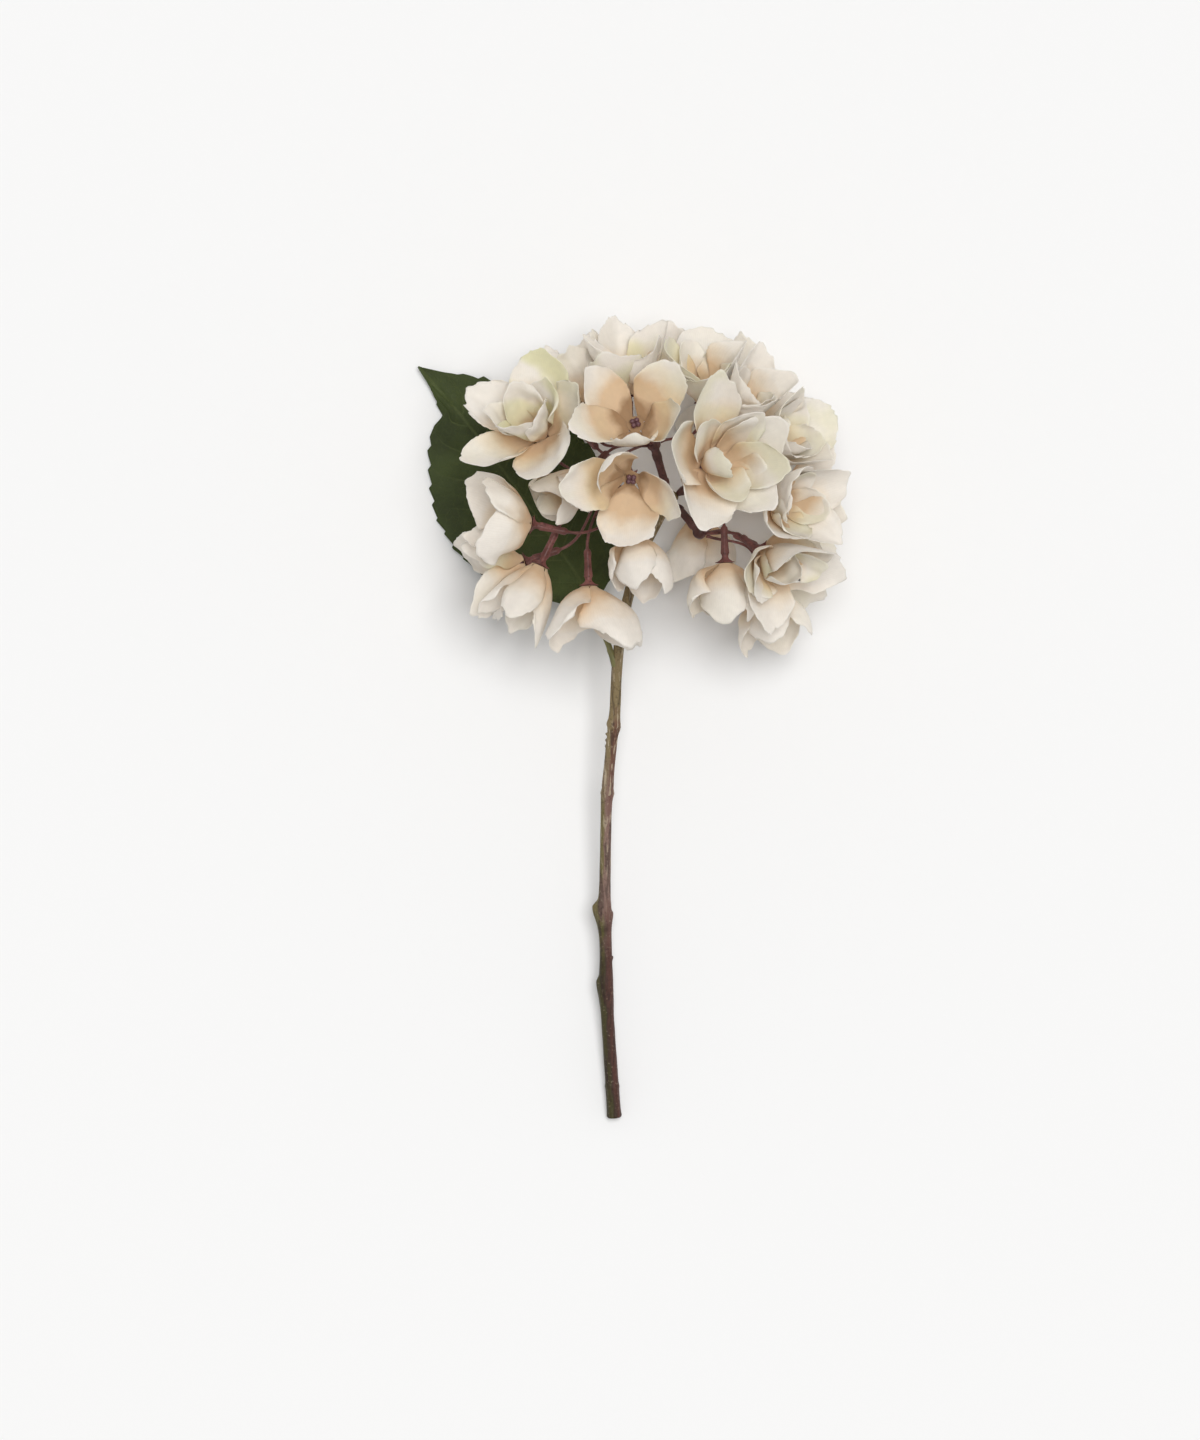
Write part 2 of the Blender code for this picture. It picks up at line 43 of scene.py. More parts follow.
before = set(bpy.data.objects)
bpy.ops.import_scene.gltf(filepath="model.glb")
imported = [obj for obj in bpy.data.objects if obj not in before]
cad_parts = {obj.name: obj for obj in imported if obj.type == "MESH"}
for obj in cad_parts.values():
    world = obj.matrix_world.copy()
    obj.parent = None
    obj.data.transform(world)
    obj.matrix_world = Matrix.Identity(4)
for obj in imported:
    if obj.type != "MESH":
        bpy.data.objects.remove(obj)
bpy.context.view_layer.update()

MM = 0.001
LAID_AT = np.array([0.56, 0.22, -0.56]) * MM
HUB = np.array([16.0, 96.0, 44.0]) * MM
HUB_RADIUS = 3.9 * MM
KNOB_RADIUS = 3.0 * MM
BRANCH_RADIUS = 1.9 * MM
JOINT_GAP = 0.35 * MM

# Stem: points of its axis from the cut end, with the radius at each, in mm.
STEM = [
    (-7.8, -174.7, 3.65, 3.30),
    (-8.3, -168.0, 4.8, 3.00),
    (-10.6, -134.0, 10.4, 2.80),
    (-11.4, -118.0, 13.0, 3.15),
    (-11.6, -100.0, 16.1, 2.65),
    (-12.4, -83.0, 19.0, 3.30),
    (-12.0, -74.0, 20.5, 2.55),
    (-11.4, -40.0, 26.0, 2.40),
    (-10.9, -32.0, 27.2, 2.80),
    (-10.4, -24.0, 28.4, 2.40),
    (-8.6, -6.0, 31.0, 2.40),
    (-8.2, -2.0, 31.6, 2.85),
    (-7.6, 4.0, 32.4, 2.40),
    (-6.6, 24.0, 35.2, 2.30),
    (-4.0, 44.0, 37.8, 2.30),
    (3.0, 70.0, 41.0, 2.40),
    (10.5, 86.0, 43.0, 2.60),
]
HUB_PROFILE = [(-0.9, 2.6), (-0.5, 3.4), (0.5, 3.4), (0.9, 2.0)]

# Buds, scars and joints on the stem: Y in mm, turn round the axis in degrees from +X over the top,
# height, half length and half width in mm.
STEM_MARKS = [
    (-82.0, 172, 1.9, 5.5, 1.5),
    (-85.0, 10, 0.8, 4.0, 1.5),
    (-115.0, 174, 1.2, 6.0, 1.3),
    (-104.0, 8, 0.6, 1.2, 1.0),
    (-3.5, 28, 1.3, 2.4, 1.5),
    (-3.5, 28, -0.9, 0.9, 0.8),
    (-6.4, 176, 0.9, 0.7, 0.7),
    (-9.0, 170, 1.0, 0.8, 0.7),
    (-11.5, 176, 0.8, 0.7, 0.7),
    (-142.0, 85, 0.5, 4.0, 1.4),
    (20.0, 120, 0.5, 4.0, 1.3),
    (-55.0, 60, 0.35, 3.0, 1.2),
]
MARK_STEEPNESS = 3.0

# Ridges on the stem: height as a share of the radius, waves round it, turn along it and phase.
RIDGES = [(0.022, 5, 4, 0), (0.016, 9, -7, 1)]
CUT_EDGE = (0.90, 0.98)
WRINKLE = 0.012
WRINKLE_COUNT = 23

# Low rings round the stem: Y, height and half length in mm.
STEM_RINGS = [(-32.0, 0.25, 0.9), (-161.0, 0.22, 1.0), (-29.8, -0.18, 0.7), (-2.0, 0.2, 1.0)]
STEM_SIDES = 48
STEM_STATIONS = 460
FIBRE_DARK = (0.022, 0.012, 0.009, 1.0)

BRANCHES = {
    "branch_left": (-28, 4, 15),
    "branch_top": (-7, 23, 10),
    "branch_right": (21, 11, 9),
    "branch_low_right": (13, -15, 5),
    "branch_low_left": (-15, -7, 18),
}

FLORETS = [
    # branch, eye, turn, lift, spin, petal length, open, bend,
    # width share, petals, inner petals, peach, green
    ("branch_left", (-56, 26, 32), 125, 52, 8, 34, 72, -24, 0.80, 5, 5, 0.20, 0.85),
    ("branch_top", (-15, 30, 49), 95, 74, 14, 32, 82, -38, 0.68, 5, 0, 1.0, 0.25),
    ("branch_top", (-18, 45, 19), 94, 24, 0, 31, 66, -36, 0.82, 5, 0, 0.3, 0.8),
    ("branch_top", (-36, 42, 8), 108, 12, 20, 31, 64, -36, 0.80, 5, 0, 0.7, 0.1),
    ("branch_top", (14, 42, 20), 80, 44, 10, 34, 76, -26, 0.84, 4, 4, 0.35, 0.5),
    ("branch_right", (28, 33, 26), 56, 34, 30, 31, 68, -30, 0.82, 4, 4, 0.4, 0.2),
    ("branch_right", (16, 13, 52), 5, 62, 5, 36, 78, -28, 0.78, 5, 5, 0.35, 0.45),
    ("branch_right", (41, 20, 26), 28, 42, 0, 34, 76, -28, 0.84, 4, 4, 0.25, 0.35),
    ("branch_right", (44, -3, 28), -4, 46, 40, 34, 80, -28, 0.84, 4, 4, 0.3, 0.4),
    ("branch_right", (51, 3, -3), 2, 6, 45, 31, 70, -36, 0.82, 5, 0, 0.2, 0.3),
    ("branch_low_right", (40, -25, 24), -42, 44, 20, 34, 80, -26, 0.84, 4, 4, 0.3, 0.7),
    ("branch_low_right", (41, -42, 3), -76, 2, 10, 27, 68, -78, 0.95, 4, 0, 0.4, 0.1),
    ("branch_low_right", (24, -29, 19), -88, 6, 4, 30, 76, -96, 1.10, 4, 0, 0.35, 0.1),
    ("branch_right", (13, -8, -24), -84, -30, 30, 31, 70, -36, 0.84, 4, 0, 0.5, 0.1),
    ("branch_left", (-17, 7, 52), -78, 64, 73, 33, 80, -36, 0.72, 4, 0, 0.75, 0.3),
    ("branch_top", (-38, 9, 27), -138, 24, 0, 31, 66, -34, 0.80, 5, 0, 0.4, 0.2),
    ("branch_low_left", (-60, -12, 31), 168, 10, 45, 31, 64, -74, 0.92, 4, 0, 0.3, 0.15),
    ("branch_left", (-63, -28, 5), 200, 6, 45, 30, 64, -38, 0.82, 4, 0, 0.5, 0.6),
    ("branch_left", (-56, -30, 18), 245, 4, 2, 31, 46, -46, 0.68, 4, 0, 0.55, 0.1),
    ("branch_left", (-35, -39, 22), 272, 8, 38, 32, 66, -54, 0.90, 4, 0, 0.6, 0.0),
    ("branch_low_left", (-13, -19, 35), -90, 20, 20, 26, 60, -90, 0.98, 4, 0, 0.55, 0.0),
    ("branch_top", (-4, 48, -18), 92, -24, 10, 33, 70, -36, 0.84, 4, 0, 0.4, 0.4),
    ("branch_right", (32, 33, -18), 45, -26, 35, 33, 70, -36, 0.84, 4, 0, 0.3, 0.3),
    ("branch_low_right", (41, -22, -22), -28, -30, 12, 32, 70, -36, 0.84, 4, 0, 0.3, 0.3),
    ("branch_top", (-42, 34, -16), 132, -14, 40, 32, 70, -36, 0.84, 4, 0, 0.4, 0.3),
    ("branch_right", (22, 19, -24), 70, -70, 22, 29, 74, -30, 0.84, 4, 0, 0.4, 0.2),
]

# Petals that stand apart from the rest of their floret: (floret, petal) and the turn added in
# degrees, the factor on the length, and what is added to the opening and to the bend.
PETAL_CHANGES = {
    (1, 1): (0, 1.15, 0, 0),
    (1, 9): (0, 1.15, 0, -10),
    (2, 1): (0, 0.92, -10, -64),
    (2, 3): (-10, 0.88, 0, 0),
    (2, 4): (10, 0.86, 0, 0),
    (15, 0): (46, 1.05, -8, -56),
    (15, 2): (0, 0.86, 0, 0),
    (7, 1): (0, 1.0, 16, 8),
    (7, 3): (0, 1.15, -4, -34),
    (7, 5): (0, 0.95, 12, 4),
    (7, 7): (0, 1.30, 12, -12),
    (7, 9): (0, 1.25, 12, -8),
    (9, 6): (0, 0.86, 0, 0),
    (11, 2): (14, 0.68, -26, 0),
    (11, 5): (0, 1.10, -14, -34),
}

# Petals, as the frame's solids have them.
SHAPE_SEED = 100
SHEET_ROOM = 0.55 * MM
FLOOR_ROOM = 0.35 * MM
EYE_RADIUS = 3.6 * MM
HOLE_RADIUS = 1.05 * MM
BASE_SHARES = {"single": 0.42, "inner": 0.38, "outer": 0.48}
TIP_TURN = math.radians(60)
WIDEST = 0.55
LONGEST = 1.1
TIP_WIDTH = 0.3
TIP_SHARE = 0.6
INNER_LENGTH_SHARE = 0.74
INNER_OPEN_SHARE = 0.56
INNER_BEND = -12
PINWHEEL = 0.20
INNER_PINWHEEL = 0.12
INNER_WRAP = 0.8
BOWL_BEND = -50
CURL = 14
BOWL_CURL = 2
POINT = 0.11
CUP = 0.40
BOWL_CUP = 0.15
CUP_FADE = 0.3
MOST_ARC = 1.5
RUFFLE = 0.12
RUFFLE_WAVES = 1.3

# How far a petal's draw, from -1 to 1, moves each of its values.
SPREAD = {
    "size": 0.08,
    "turn": math.radians(5),
    "open": 8,
    "bend": 10,
    "curl": 14,
    "point": 0.08,
    "cup": 0.15,
    "ruffle": 0.08,
    "phase": 0.5,
}

# Petals, as only the finished cloth has them.
CLOTH_SEED = 500
INNER_LIFT = 1.4 * MM
DENT_DEPTH = 0.55 * MM
TIP_WAVE = 0.016
TIP_NICK = 0.011
TIP_TRIM = 0.012
SIDE_WAVE = 0.028
SIDE_NICK = 0.012
ROLLS = (-0.10, 0.22)
ROLL_START = 0.4
FOLDS = (-0.3, 0.5)
FOLD_WIDTH = 0.2
CLAW_END = 0.14
CLAW_SPREAD = 2.2
CLAW_RISE = 0.8
EYE_RINGS = 4
EYE_VALUES = {"along": 0.0, "across": 0.0, "chance": 0.5, "inner": 0.0}

# Room between florets, and the fit of a petal between its neighbours.
BULK = 12.0 * MM
SOFTNESSES = [4.0 * MM, 2.0 * MM, 1.0 * MM, 0.5 * MM, 0.25 * MM]
FIT_SHARES = [1.0, 0.92, 0.84, 0.76, 0.68, 0.6, 0.52]
FIT_PRESS = 5.0 * MM
REACH = 90.0 * MM
PEDICEL_NEAR = 18.0 * MM
PEDICEL_CLEARANCE = 2.2 * MM
STEM_CLEARANCE = 3.0 * MM
DOUBLE_ROOM = 1.12
OVER_LEAF_X = HUB[0] - 20.0 * MM
OVER_LEAF_Z = 9.0 * MM

# Pedicels: the stalk, its sleeve and calyx, and the four lobes of its bead.
PEDICEL_RADIUS = 0.62 * MM
SLEEVE = [
    # distance from the eye, radius, rib, prong, all in mm
    (-16.9, 0.66, 0.00, 0.0), (-16.4, 1.00, 0.03, 0.0), (-15.9, 1.42, 0.05, 0.0),
    (-15.0, 1.62, 0.06, 0.0), (-13.8, 1.58, 0.09, 0.0), (-12.6, 1.40, 0.12, 0.0),
    (-10.0, 1.46, 0.14, 0.0), (-7.0, 1.62, 0.15, 0.0), (-5.4, 1.78, 0.16, 0.0),
    (-4.6, 1.80, 0.15, 0.0), (-4.0, 1.48, 0.10, 0.0), (-3.2, 1.30, 0.05, 0.1),
    (-2.4, 1.42, 0.00, 0.3), (-1.7, 1.75, 0.00, 0.7), (-1.1, 2.20, 0.00, 1.2),
    (-0.75, 2.75, 0.00, 1.7), (-0.55, 2.80, 0.00, 1.9), (-0.48, 2.40, 0.00, 1.4),
    (-0.45, 0.75, 0.00, 0.0), (0.45, 0.75, 0.00, 0.0), (0.9, 1.30, 0.00, 0.0),
    (1.4, 1.40, 0.00, 0.0),
]
SLEEVE_START = 16.5 * MM
SOLID_STATIONS = np.array([-16.0, -4.6, -2.6, -0.66, -0.60, 0.60, 0.66, 2.2, 3.4]) * MM
LEAVE_SHARE = 0.3
ARRIVE_SHARE = 0.35
BEND_STATIONS = 22
ROOT_SWELL = (1.45, 1.2)
STALK_SWELL = 0.06
LOBES = 5
BEAD_CORNERS = ((1, 1), (-1, 1), (-1, -1), (1, -1))
BEAD_ASIDE = 0.98
BEAD_HEIGHT = 1.75
BEAD_RADII = np.array([1.18, 1.18, 1.30]) * MM
BEAD_RISES = 9
BEAD_TURNS = 12

# Shaft of a branch: share of its length up to SHAFT_END, where the knob begins, and of its radius.
SHAFT = [
    (0.0, 0.58), (0.04, 0.80), (0.10, 1.06), (0.16, 1.10), (0.19, 0.92),
    (0.35, 0.90), (0.5, 0.95), (0.56, 1.10), (0.62, 1.08), (0.66, 0.92),
]
SHAFT_END = 0.70
KNOB_TURNS = np.radians(np.linspace(40, 172, 12))
KNOB_LOBE = 0.05

# Leaf
LEAF_MIDRIB = [
    (-17.6, 51.0, 25.0),
    (-22.5, 60.5, 19.5),
    (-30.0, 71.5, 13.5),
    (-39.0, 84.5, 8.5),
    (-52.0, 103.0, 4.5),
    (-66.0, 122.0, 3.4),
    (-80.0, 139.5, 2.8),
    (-94.0, 155.0, 5.0),
]
LEAF_WIDTHS = [
    # share of the length, half width to the left and to the right
    (0.00, 3.0, 3.0),
    (0.05, 13.0, 13.0),
    (0.15, 25.0, 25.0),
    (0.28, 33.5, 33.5),
    (0.43, 37.6, 37.4),
    (0.56, 36.0, 35.5),
    (0.66, 29.6, 30.5),
    (0.74, 22.2, 25.0),
    (0.79, 16.5, 21.0),
    (0.81, 10.0, 19.6),
    (0.825, 6.4, 18.4),
    (0.85, 5.2, 15.8),
    (0.89, 3.9, 11.3),
    (0.93, 2.3, 7.0),
    (1.00, 0.3, 0.3),
]
LEAF_DROOP = 0.07
LEAF_SHEET = 0.7 * MM
PETIOLE_LEAVE = np.array([-9.7, 30.0, 36.6]) * MM
PETIOLE_ROOT = np.array([2.9, -7.0, -1.6]) * MM
PETIOLE_RADII = [2.3, 1.5, 1.3, 1.25, 1.2, 1.1, 1.05, 0.95]
MIDRIB_RADIUS = 0.95 * MM
MIDRIB_END_SHARE = 0.80
PETIOLE_OUT = np.array([-1.2, 6.0, 2.0]) * MM
PETIOLE_IN = np.array([1.0, -9.0, 5.0]) * MM
PETIOLE_SIDES = 20
ROOT_STATIONS = 12
FREE_STATIONS = 40
RIB_STATIONS = 60
MIDRIB_STATIONS = 200
MIDRIB_TAPER = 0.68
CHANNEL_DEPTH = 0.18
CHANNEL_WIDTH = 0.4
BLADE_GRID = (72, 360)
BLADE_LIFT = 0.3 * MM
CLOTH_HALF = 35
CLOTH_LENGTH = 130
TOOTH_DEPTH = 1.0 * MM
TOOTH_TOP = 0.72
VEIN_SLOPE = 0.20
MID_VEIN = 0.9 * MM
GROOVE = 0.25 * MM
PUFF = 0.55 * MM
BLADE_RUFFLE = 0.9 * MM

# Stage
FLOOR_REACH = 4.0
DOME_FADE = 0.55
DOME_COLOUR = (1.0, 0.995, 0.98, 1.0)
KEY_SPREAD = math.radians(30)
KEY_TILT = (math.radians(-7), math.radians(7), 0.0)
CAMERA_PLACE = np.array([-14.09, -0.19, 3000.0]) * MM + LAID_AT * (1, 1, 0)
FRAME_HEIGHT = 633.6 * MM
SENSOR_WIDTH = 36.0
CLIP_START = 0.05


def colour_setting(name, description, *colour):
    """A colour in a settings group, with its default in linear light."""
    return FloatVectorProperty(
        name=name, description=description, subtype="COLOR", size=4, default=(*colour, 1.0)
    )


class PetalSettings(bpy.types.PropertyGroup):
    """Cloth of the florets."""

    thickness: FloatProperty(
        name="Cloth thickness", description="Thickness of the petal cloth", default=0.16 * MM,
        unit="LENGTH",
    )
    across: IntProperty(name="Steps across", description="Faces across a petal", default=22)
    along: IntProperty(name="Steps along", description="Faces along a petal", default=30)
    base: colour_setting("Base", "Dye at the eye", 0.46, 0.29, 0.16)
    peach: colour_setting("Peach", "Dye round the eye", 0.82, 0.62, 0.41)
    cream: colour_setting("Cream", "Main colour of the petals", 0.93, 0.83, 0.69)
    edge: colour_setting("Edge", "Paler colour towards the tip", 0.96, 0.92, 0.86)
    green: colour_setting("Green", "Tint of the greener petals", 0.84, 0.82, 0.50)


class StalkSettings(bpy.types.PropertyGroup):
    """Moulded stalks, branches and eyes."""

    sides: IntProperty(name="Sides", description="Faces round a stalk", default=30)
    maroon: colour_setting("Maroon", "Colour of the stalks", 0.112, 0.037, 0.032)
    dark: colour_setting("Dark maroon", "Colour of the branches", 0.075, 0.028, 0.024)
    bead: colour_setting("Bead", "Colour of the eyes", 0.115, 0.050, 0.060)


class StemSettings(bpy.types.PropertyGroup):
    """Coated stem."""

    olive: colour_setting("Olive", "Colour near the head", 0.215, 0.160, 0.078)
    # Middle: the coat's own tone half way along with a painted highlight in it, so paler and greyer there
    middle: colour_setting("Middle", "Colour half way along", 0.225, 0.140, 0.112)
    brown: colour_setting("Brown", "Colour near the cut end", 0.036, 0.019, 0.011)
    red: colour_setting("Red", "Colour of the right side", 0.125, 0.043, 0.033)
    green: colour_setting("Green", "Colour of the left side", 0.130, 0.118, 0.030)
    streak: colour_setting("Streak", "Colour of the pale streaks", 0.46, 0.38, 0.27)


class LeafSettings(bpy.types.PropertyGroup):
    """Cloth leaf and its petiole."""

    thickness: FloatProperty(
        name="Cloth thickness", description="Thickness of the blade", default=0.45 * MM,
        unit="LENGTH",
    )
    teeth: IntProperty(name="Teeth", description="Teeth along each side", default=19)
    veins: IntProperty(name="Veins", description="Side veins along the blade", default=9)
    dark: colour_setting("Dark green", "Colour of the blade", 0.030, 0.041, 0.010)
    light: colour_setting("Light green", "Colour of the veins", 0.072, 0.092, 0.028)
    petiole: colour_setting("Petiole", "Colour of the petiole", 0.17, 0.16, 0.055)


class StageSettings(bpy.types.PropertyGroup):
    """Floor, lights and camera."""

    floor: colour_setting("Floor", "Colour of the floor", 0.90, 0.90, 0.90)
    key: FloatProperty(name="Key", description="Strength of the main light", default=2.05)
    sky: FloatProperty(name="Sky", description="Strength of the dome overhead", default=0.36)
    horizon: FloatProperty(name="Horizon", description="Strength of the dome low down", default=0.92)


# Shapes


def unit(vectors):
    """Vectors, along the last axis, made one long."""
    return vectors / np.maximum(np.linalg.norm(vectors, axis=-1, keepdims=True), 1e-12)


def direction(turn, lift):
    """Unit vector from a turn about Z and a lift towards +Z, in degrees."""
    turn, lift = math.radians(turn), math.radians(lift)
    return np.array([math.cos(turn) * math.cos(lift), math.sin(turn) * math.cos(lift), math.sin(lift)])


def eye_of(floret):
    """Place of a floret's eye."""
    return HUB + np.array(floret[1]) * MM


def knob_of(branch):
    """Centre of the knob at a branch's end."""
    return HUB + np.array(BRANCHES[branch]) * MM


def floret_axes(floret):
    """Rows: the floret's own X, Y and facing, the first two turned about it by the spin."""
    turn, lift, spin = floret[2], floret[3], math.radians(floret[4])
    facing = direction(turn, lift)
    side = np.array([-math.sin(math.radians(turn)), math.cos(math.radians(turn)), 0.0])
    up = np.cross(facing, side)
    first = side * math.cos(spin) + up * math.sin(spin)
    return np.stack([first, np.cross(facing, first), facing])


def petals_of(index):
    """The petals of a floret in order round its eye, outer and inner ones in turn."""
    length, opening, bend, width_share, outer, inner = FLORETS[index][5:11]
    random = np.random.default_rng(SHAPE_SEED + index)
    is_bowl = bend < BOWL_BEND
    count = outer + inner
    petals = []
    for k in range(count):
        is_inner = inner > 0 and k % 2 == 1
        ring = "single" if inner == 0 else ("inner" if is_inner else "outer")
        draw = random.uniform(-1.0, 1.0, 8)
        size = INNER_LENGTH_SHARE if is_inner else 1.0
        petal_length = length * MM * size * (1 + SPREAD["size"] * draw[0])
        turned, factor, opened, bent = PETAL_CHANGES.get((index + 1, k), (0, 1.0, 0, 0))
        opening_here = opening * (INNER_OPEN_SHARE if is_inner else 1.0)
        petals.append(
            {
                "turn": 2 * math.pi * k / count + SPREAD["turn"] * draw[1] + math.radians(turned),
                "base_arc": 2 * math.pi / count * BASE_SHARES[ring],
                "length": petal_length * factor,
                "width": petal_length * width_share * (1 + SPREAD["size"] * draw[2]),
                "open": opening_here + SPREAD["open"] * draw[3] + opened,
                "bend": bend + (INNER_BEND if is_inner else 0) + SPREAD["bend"] * draw[4] + bent,
                "curl": (BOWL_CURL if is_bowl else CURL) + SPREAD["curl"] * draw[5],
                "point": POINT + SPREAD["point"] * draw[6],
                "cup": (BOWL_CUP if is_bowl else CUP) + SPREAD["cup"] * draw[7],
                "pinwheel": INNER_PINWHEEL if is_inner else PINWHEEL,
                "wrap": INNER_WRAP if is_inner else 1.0,
                "ruffle": RUFFLE + SPREAD["ruffle"] * draw[3],
                "phase": SPREAD["phase"] * draw[5],
                "inner": is_inner,
            }
        )
    return petals


def waves(random, places, count, lowest, highest):
    """A sum of sine waves of random frequency and phase, about one high in all."""
    total = np.zeros_like(places)
    for _ in range(count):
        turns, phase = random.uniform(lowest, highest), random.uniform(0, 2 * math.pi)
        total = total + np.sin(2 * math.pi * turns * places + phase)
    return total / math.sqrt(count)


def petal_surface(petal, across, along, random=None):
    """Points of one petal on a grid of share s along it and share t across it, in the floret's frame.

    The outline is a claw that widens along a sine to the widest place, then half an ellipse, and
    the rows bow like the tip of that ellipse. The midrib leaves the eye at the opening angle and
    bends evenly, with a curl by the tip; its slope summed gives how far out and how far up each s
    lies. Each cross section is an arc about the midrib, tilted so that neighbours overlap like a
    pinwheel, and waved towards its ends. With a random source the margin is cut a little unevenly
    and rolled, the cloth is dented, and inner petals stand off the outer ones.
    """
    s = np.linspace(0.0, 1.0, along + 1)[:, None]
    t = np.linspace(-1.0, 1.0, across + 1)[None, :]
    fine = np.linspace(0.0, LONGEST, 73)
    angle = np.radians(petal["open"] + petal["bend"] * fine + petal["curl"] * fine**4)
    step = petal["length"] * fine[1]
    out = np.concatenate([[0.0], np.cumsum((np.sin(angle)[1:] + np.sin(angle)[:-1]) / 2 * step)])
    up = np.concatenate([[0.0], np.cumsum((np.cos(angle)[1:] + np.cos(angle)[:-1]) / 2 * step)])
    bow = (1 - np.cos(TIP_TURN * t)) / (1 - math.cos(TIP_TURN))
    aside = np.sin(TIP_TURN * t) / math.sin(TIP_TURN)
    tip_drop = (1 - WIDEST) * (1 - math.cos(TIP_TURN))
    run = s * (1 - tip_drop * bow) + petal["point"] * np.exp(-((t / TIP_WIDTH) ** 2)) * s**6 * TIP_SHARE
    place = s * (1 - tip_drop)
    before = np.sin(np.pi / 2 * np.minimum(1, place / WIDEST)) ** 0.8
    after = np.sqrt(1 - np.maximum(0, (place - WIDEST) / (1 - WIDEST)) ** 2)
    base_half = EYE_RADIUS * math.sin(petal["base_arc"])
    half = base_half * (1 - s) ** 2 + petal["width"] / 2 * before * after
    lift = 0.0
    if random is not None:
        uneven = TIP_WAVE * waves(random, t, 3, 1, 3) + TIP_NICK * waves(random, t, 4, 5, 11)
        run = run + s**6 * (uneven - TIP_TRIM)
        sides = np.where(t < 0, waves(random, s, 3, 1, 3), waves(random, s, 3, 1, 3))
        nicks = np.where(t < 0, waves(random, s, 4, 6, 14), waves(random, s, 4, 6, 14))
        uneven = SIDE_WAVE * sides + SIDE_NICK * nicks
        half = half * (1 + np.abs(t) ** 3 * np.minimum(1, 3 * s) * uneven)
        roll = random.uniform(*ROLLS, 2)
        margin = np.maximum(0, (np.abs(t) - ROLL_START) / (1 - ROLL_START))
        rolled = np.where(t < 0, roll[0], roll[1]) * margin**2
        lift = half * rolled * np.sin(np.pi * np.minimum(1, s * 0.95))
        dents = waves(random, s + 0.35 * t, 2, 0.8, 1.8) * waves(random, t - 0.3 * s, 2, 0.5, 1.4)
        lift = lift + DENT_DEPTH * dents * np.minimum(1, 2 * s)
        fold = random.uniform(*FOLDS) * MM
        lift = lift - fold * np.exp(-((t / FOLD_WIDTH) ** 2)) * np.sin(np.pi * s**0.8)
        lift = lift + petal["inner"] * INNER_LIFT * np.minimum(1, 3 * s)
    run = np.clip(run, 0.0, LONGEST)
    out_at = np.interp(run, fine, out) + EYE_RADIUS
    up_at = np.interp(run, fine, up)
    angle_at = np.interp(run, fine, angle)
    wrap = petal["wrap"] * half * np.maximum(0.0, np.cos(angle_at)) / out_at
    arc = np.minimum(petal["cup"] * (1.0 - CUP_FADE * s) + wrap, MOST_ARC)
    across_at = half * np.sin(arc * aside) / arc
    wave = np.sin(2 * np.pi * (RUFFLE_WAVES * s + petal["phase"])) * aside * np.abs(aside)
    inward = half * (1 - np.cos(arc * aside)) / arc + petal["ruffle"] * half * wave
    inward = inward + petal["pinwheel"] * aside * half * np.minimum(1, 2.5 * s) + lift
    radial = out_at - np.cos(angle_at) * inward
    axial = up_at + np.sin(angle_at) * inward
    turn = petal["turn"]
    points = np.stack(
        [
            radial * math.cos(turn) - across_at * math.sin(turn),
            radial * math.sin(turn) + across_at * math.cos(turn),
            axial + 0 * across_at,
        ],
        axis=2,
    )
    base_turn = turn + petal["base_arc"] * t[0]
    base = EYE_RADIUS * np.stack([np.cos(base_turn), np.sin(base_turn), 0 * base_turn], axis=1)
    if random is None:
        points[0] = base
        return points
    leave = np.clip(s[:, :, None] / CLAW_END, 0, 1)
    leave = leave * leave * (3 - 2 * leave)
    onward = base[None] * (1 + s[:, :, None] * CLAW_SPREAD)
    onward[:, :, 2] += up_at * CLAW_RISE
    return points * leave + onward * (1 - leave)


def centre_of(floret):
    """Middle of the space that the floret's petals fill."""
    return eye_of(floret) + direction(floret[2], floret[3]) * BULK


def size_of(floret):
    """How much room a floret takes against its neighbours; double ones take more."""
    return floret[5] * (DOUBLE_ROOM if floret[10] else 1.0)


def nearest_on(line, point):
    """The point of a line of straight pieces that is nearest to a point."""
    a, b = line[:-1], line[1:]
    along = b - a
    share = np.clip(((point - a) * along).sum(1) / (along * along).sum(1), 0, 1)
    near = a + along * share[:, None]
    return near[np.linalg.norm(near - point, axis=1).argmin()]


def planes_round(index):
    """Planes that the floret's petals are pressed off: its neighbours, the stem, stalks, the leaf and
    the floor. Each is (point, normal towards the floret, clearance)."""
    own = centre_of(FLORETS[index])
    planes = []
    for other, floret in enumerate(FLORETS):
        gap = own - centre_of(floret)
        if other != index and np.linalg.norm(gap) < REACH:
            share = size_of(FLORETS[index]) / (size_of(FLORETS[index]) + size_of(floret))
            planes.append((own - gap * share, unit(gap), SHEET_ROOM))
    near = nearest_on(np.array(STEM)[:, :3] * MM, own)
    planes.append((near, unit(own - near), STEM_CLEARANCE + SHEET_ROOM))
    for other in range(len(FLORETS)):
        if other != index:
            near = nearest_on(pedicel_solid(FLORETS[other]), own)
            if np.linalg.norm(own - near) < PEDICEL_NEAR:
                planes.append((near, unit(own - near), PEDICEL_CLEARANCE + SHEET_ROOM))
    up = np.array([0.0, 0.0, 1.0])
    if own[0] < OVER_LEAF_X:
        planes.append((up * OVER_LEAF_Z, up, SHEET_ROOM))
    planes.append((up * 0, up, FLOOR_ROOM))
    return planes


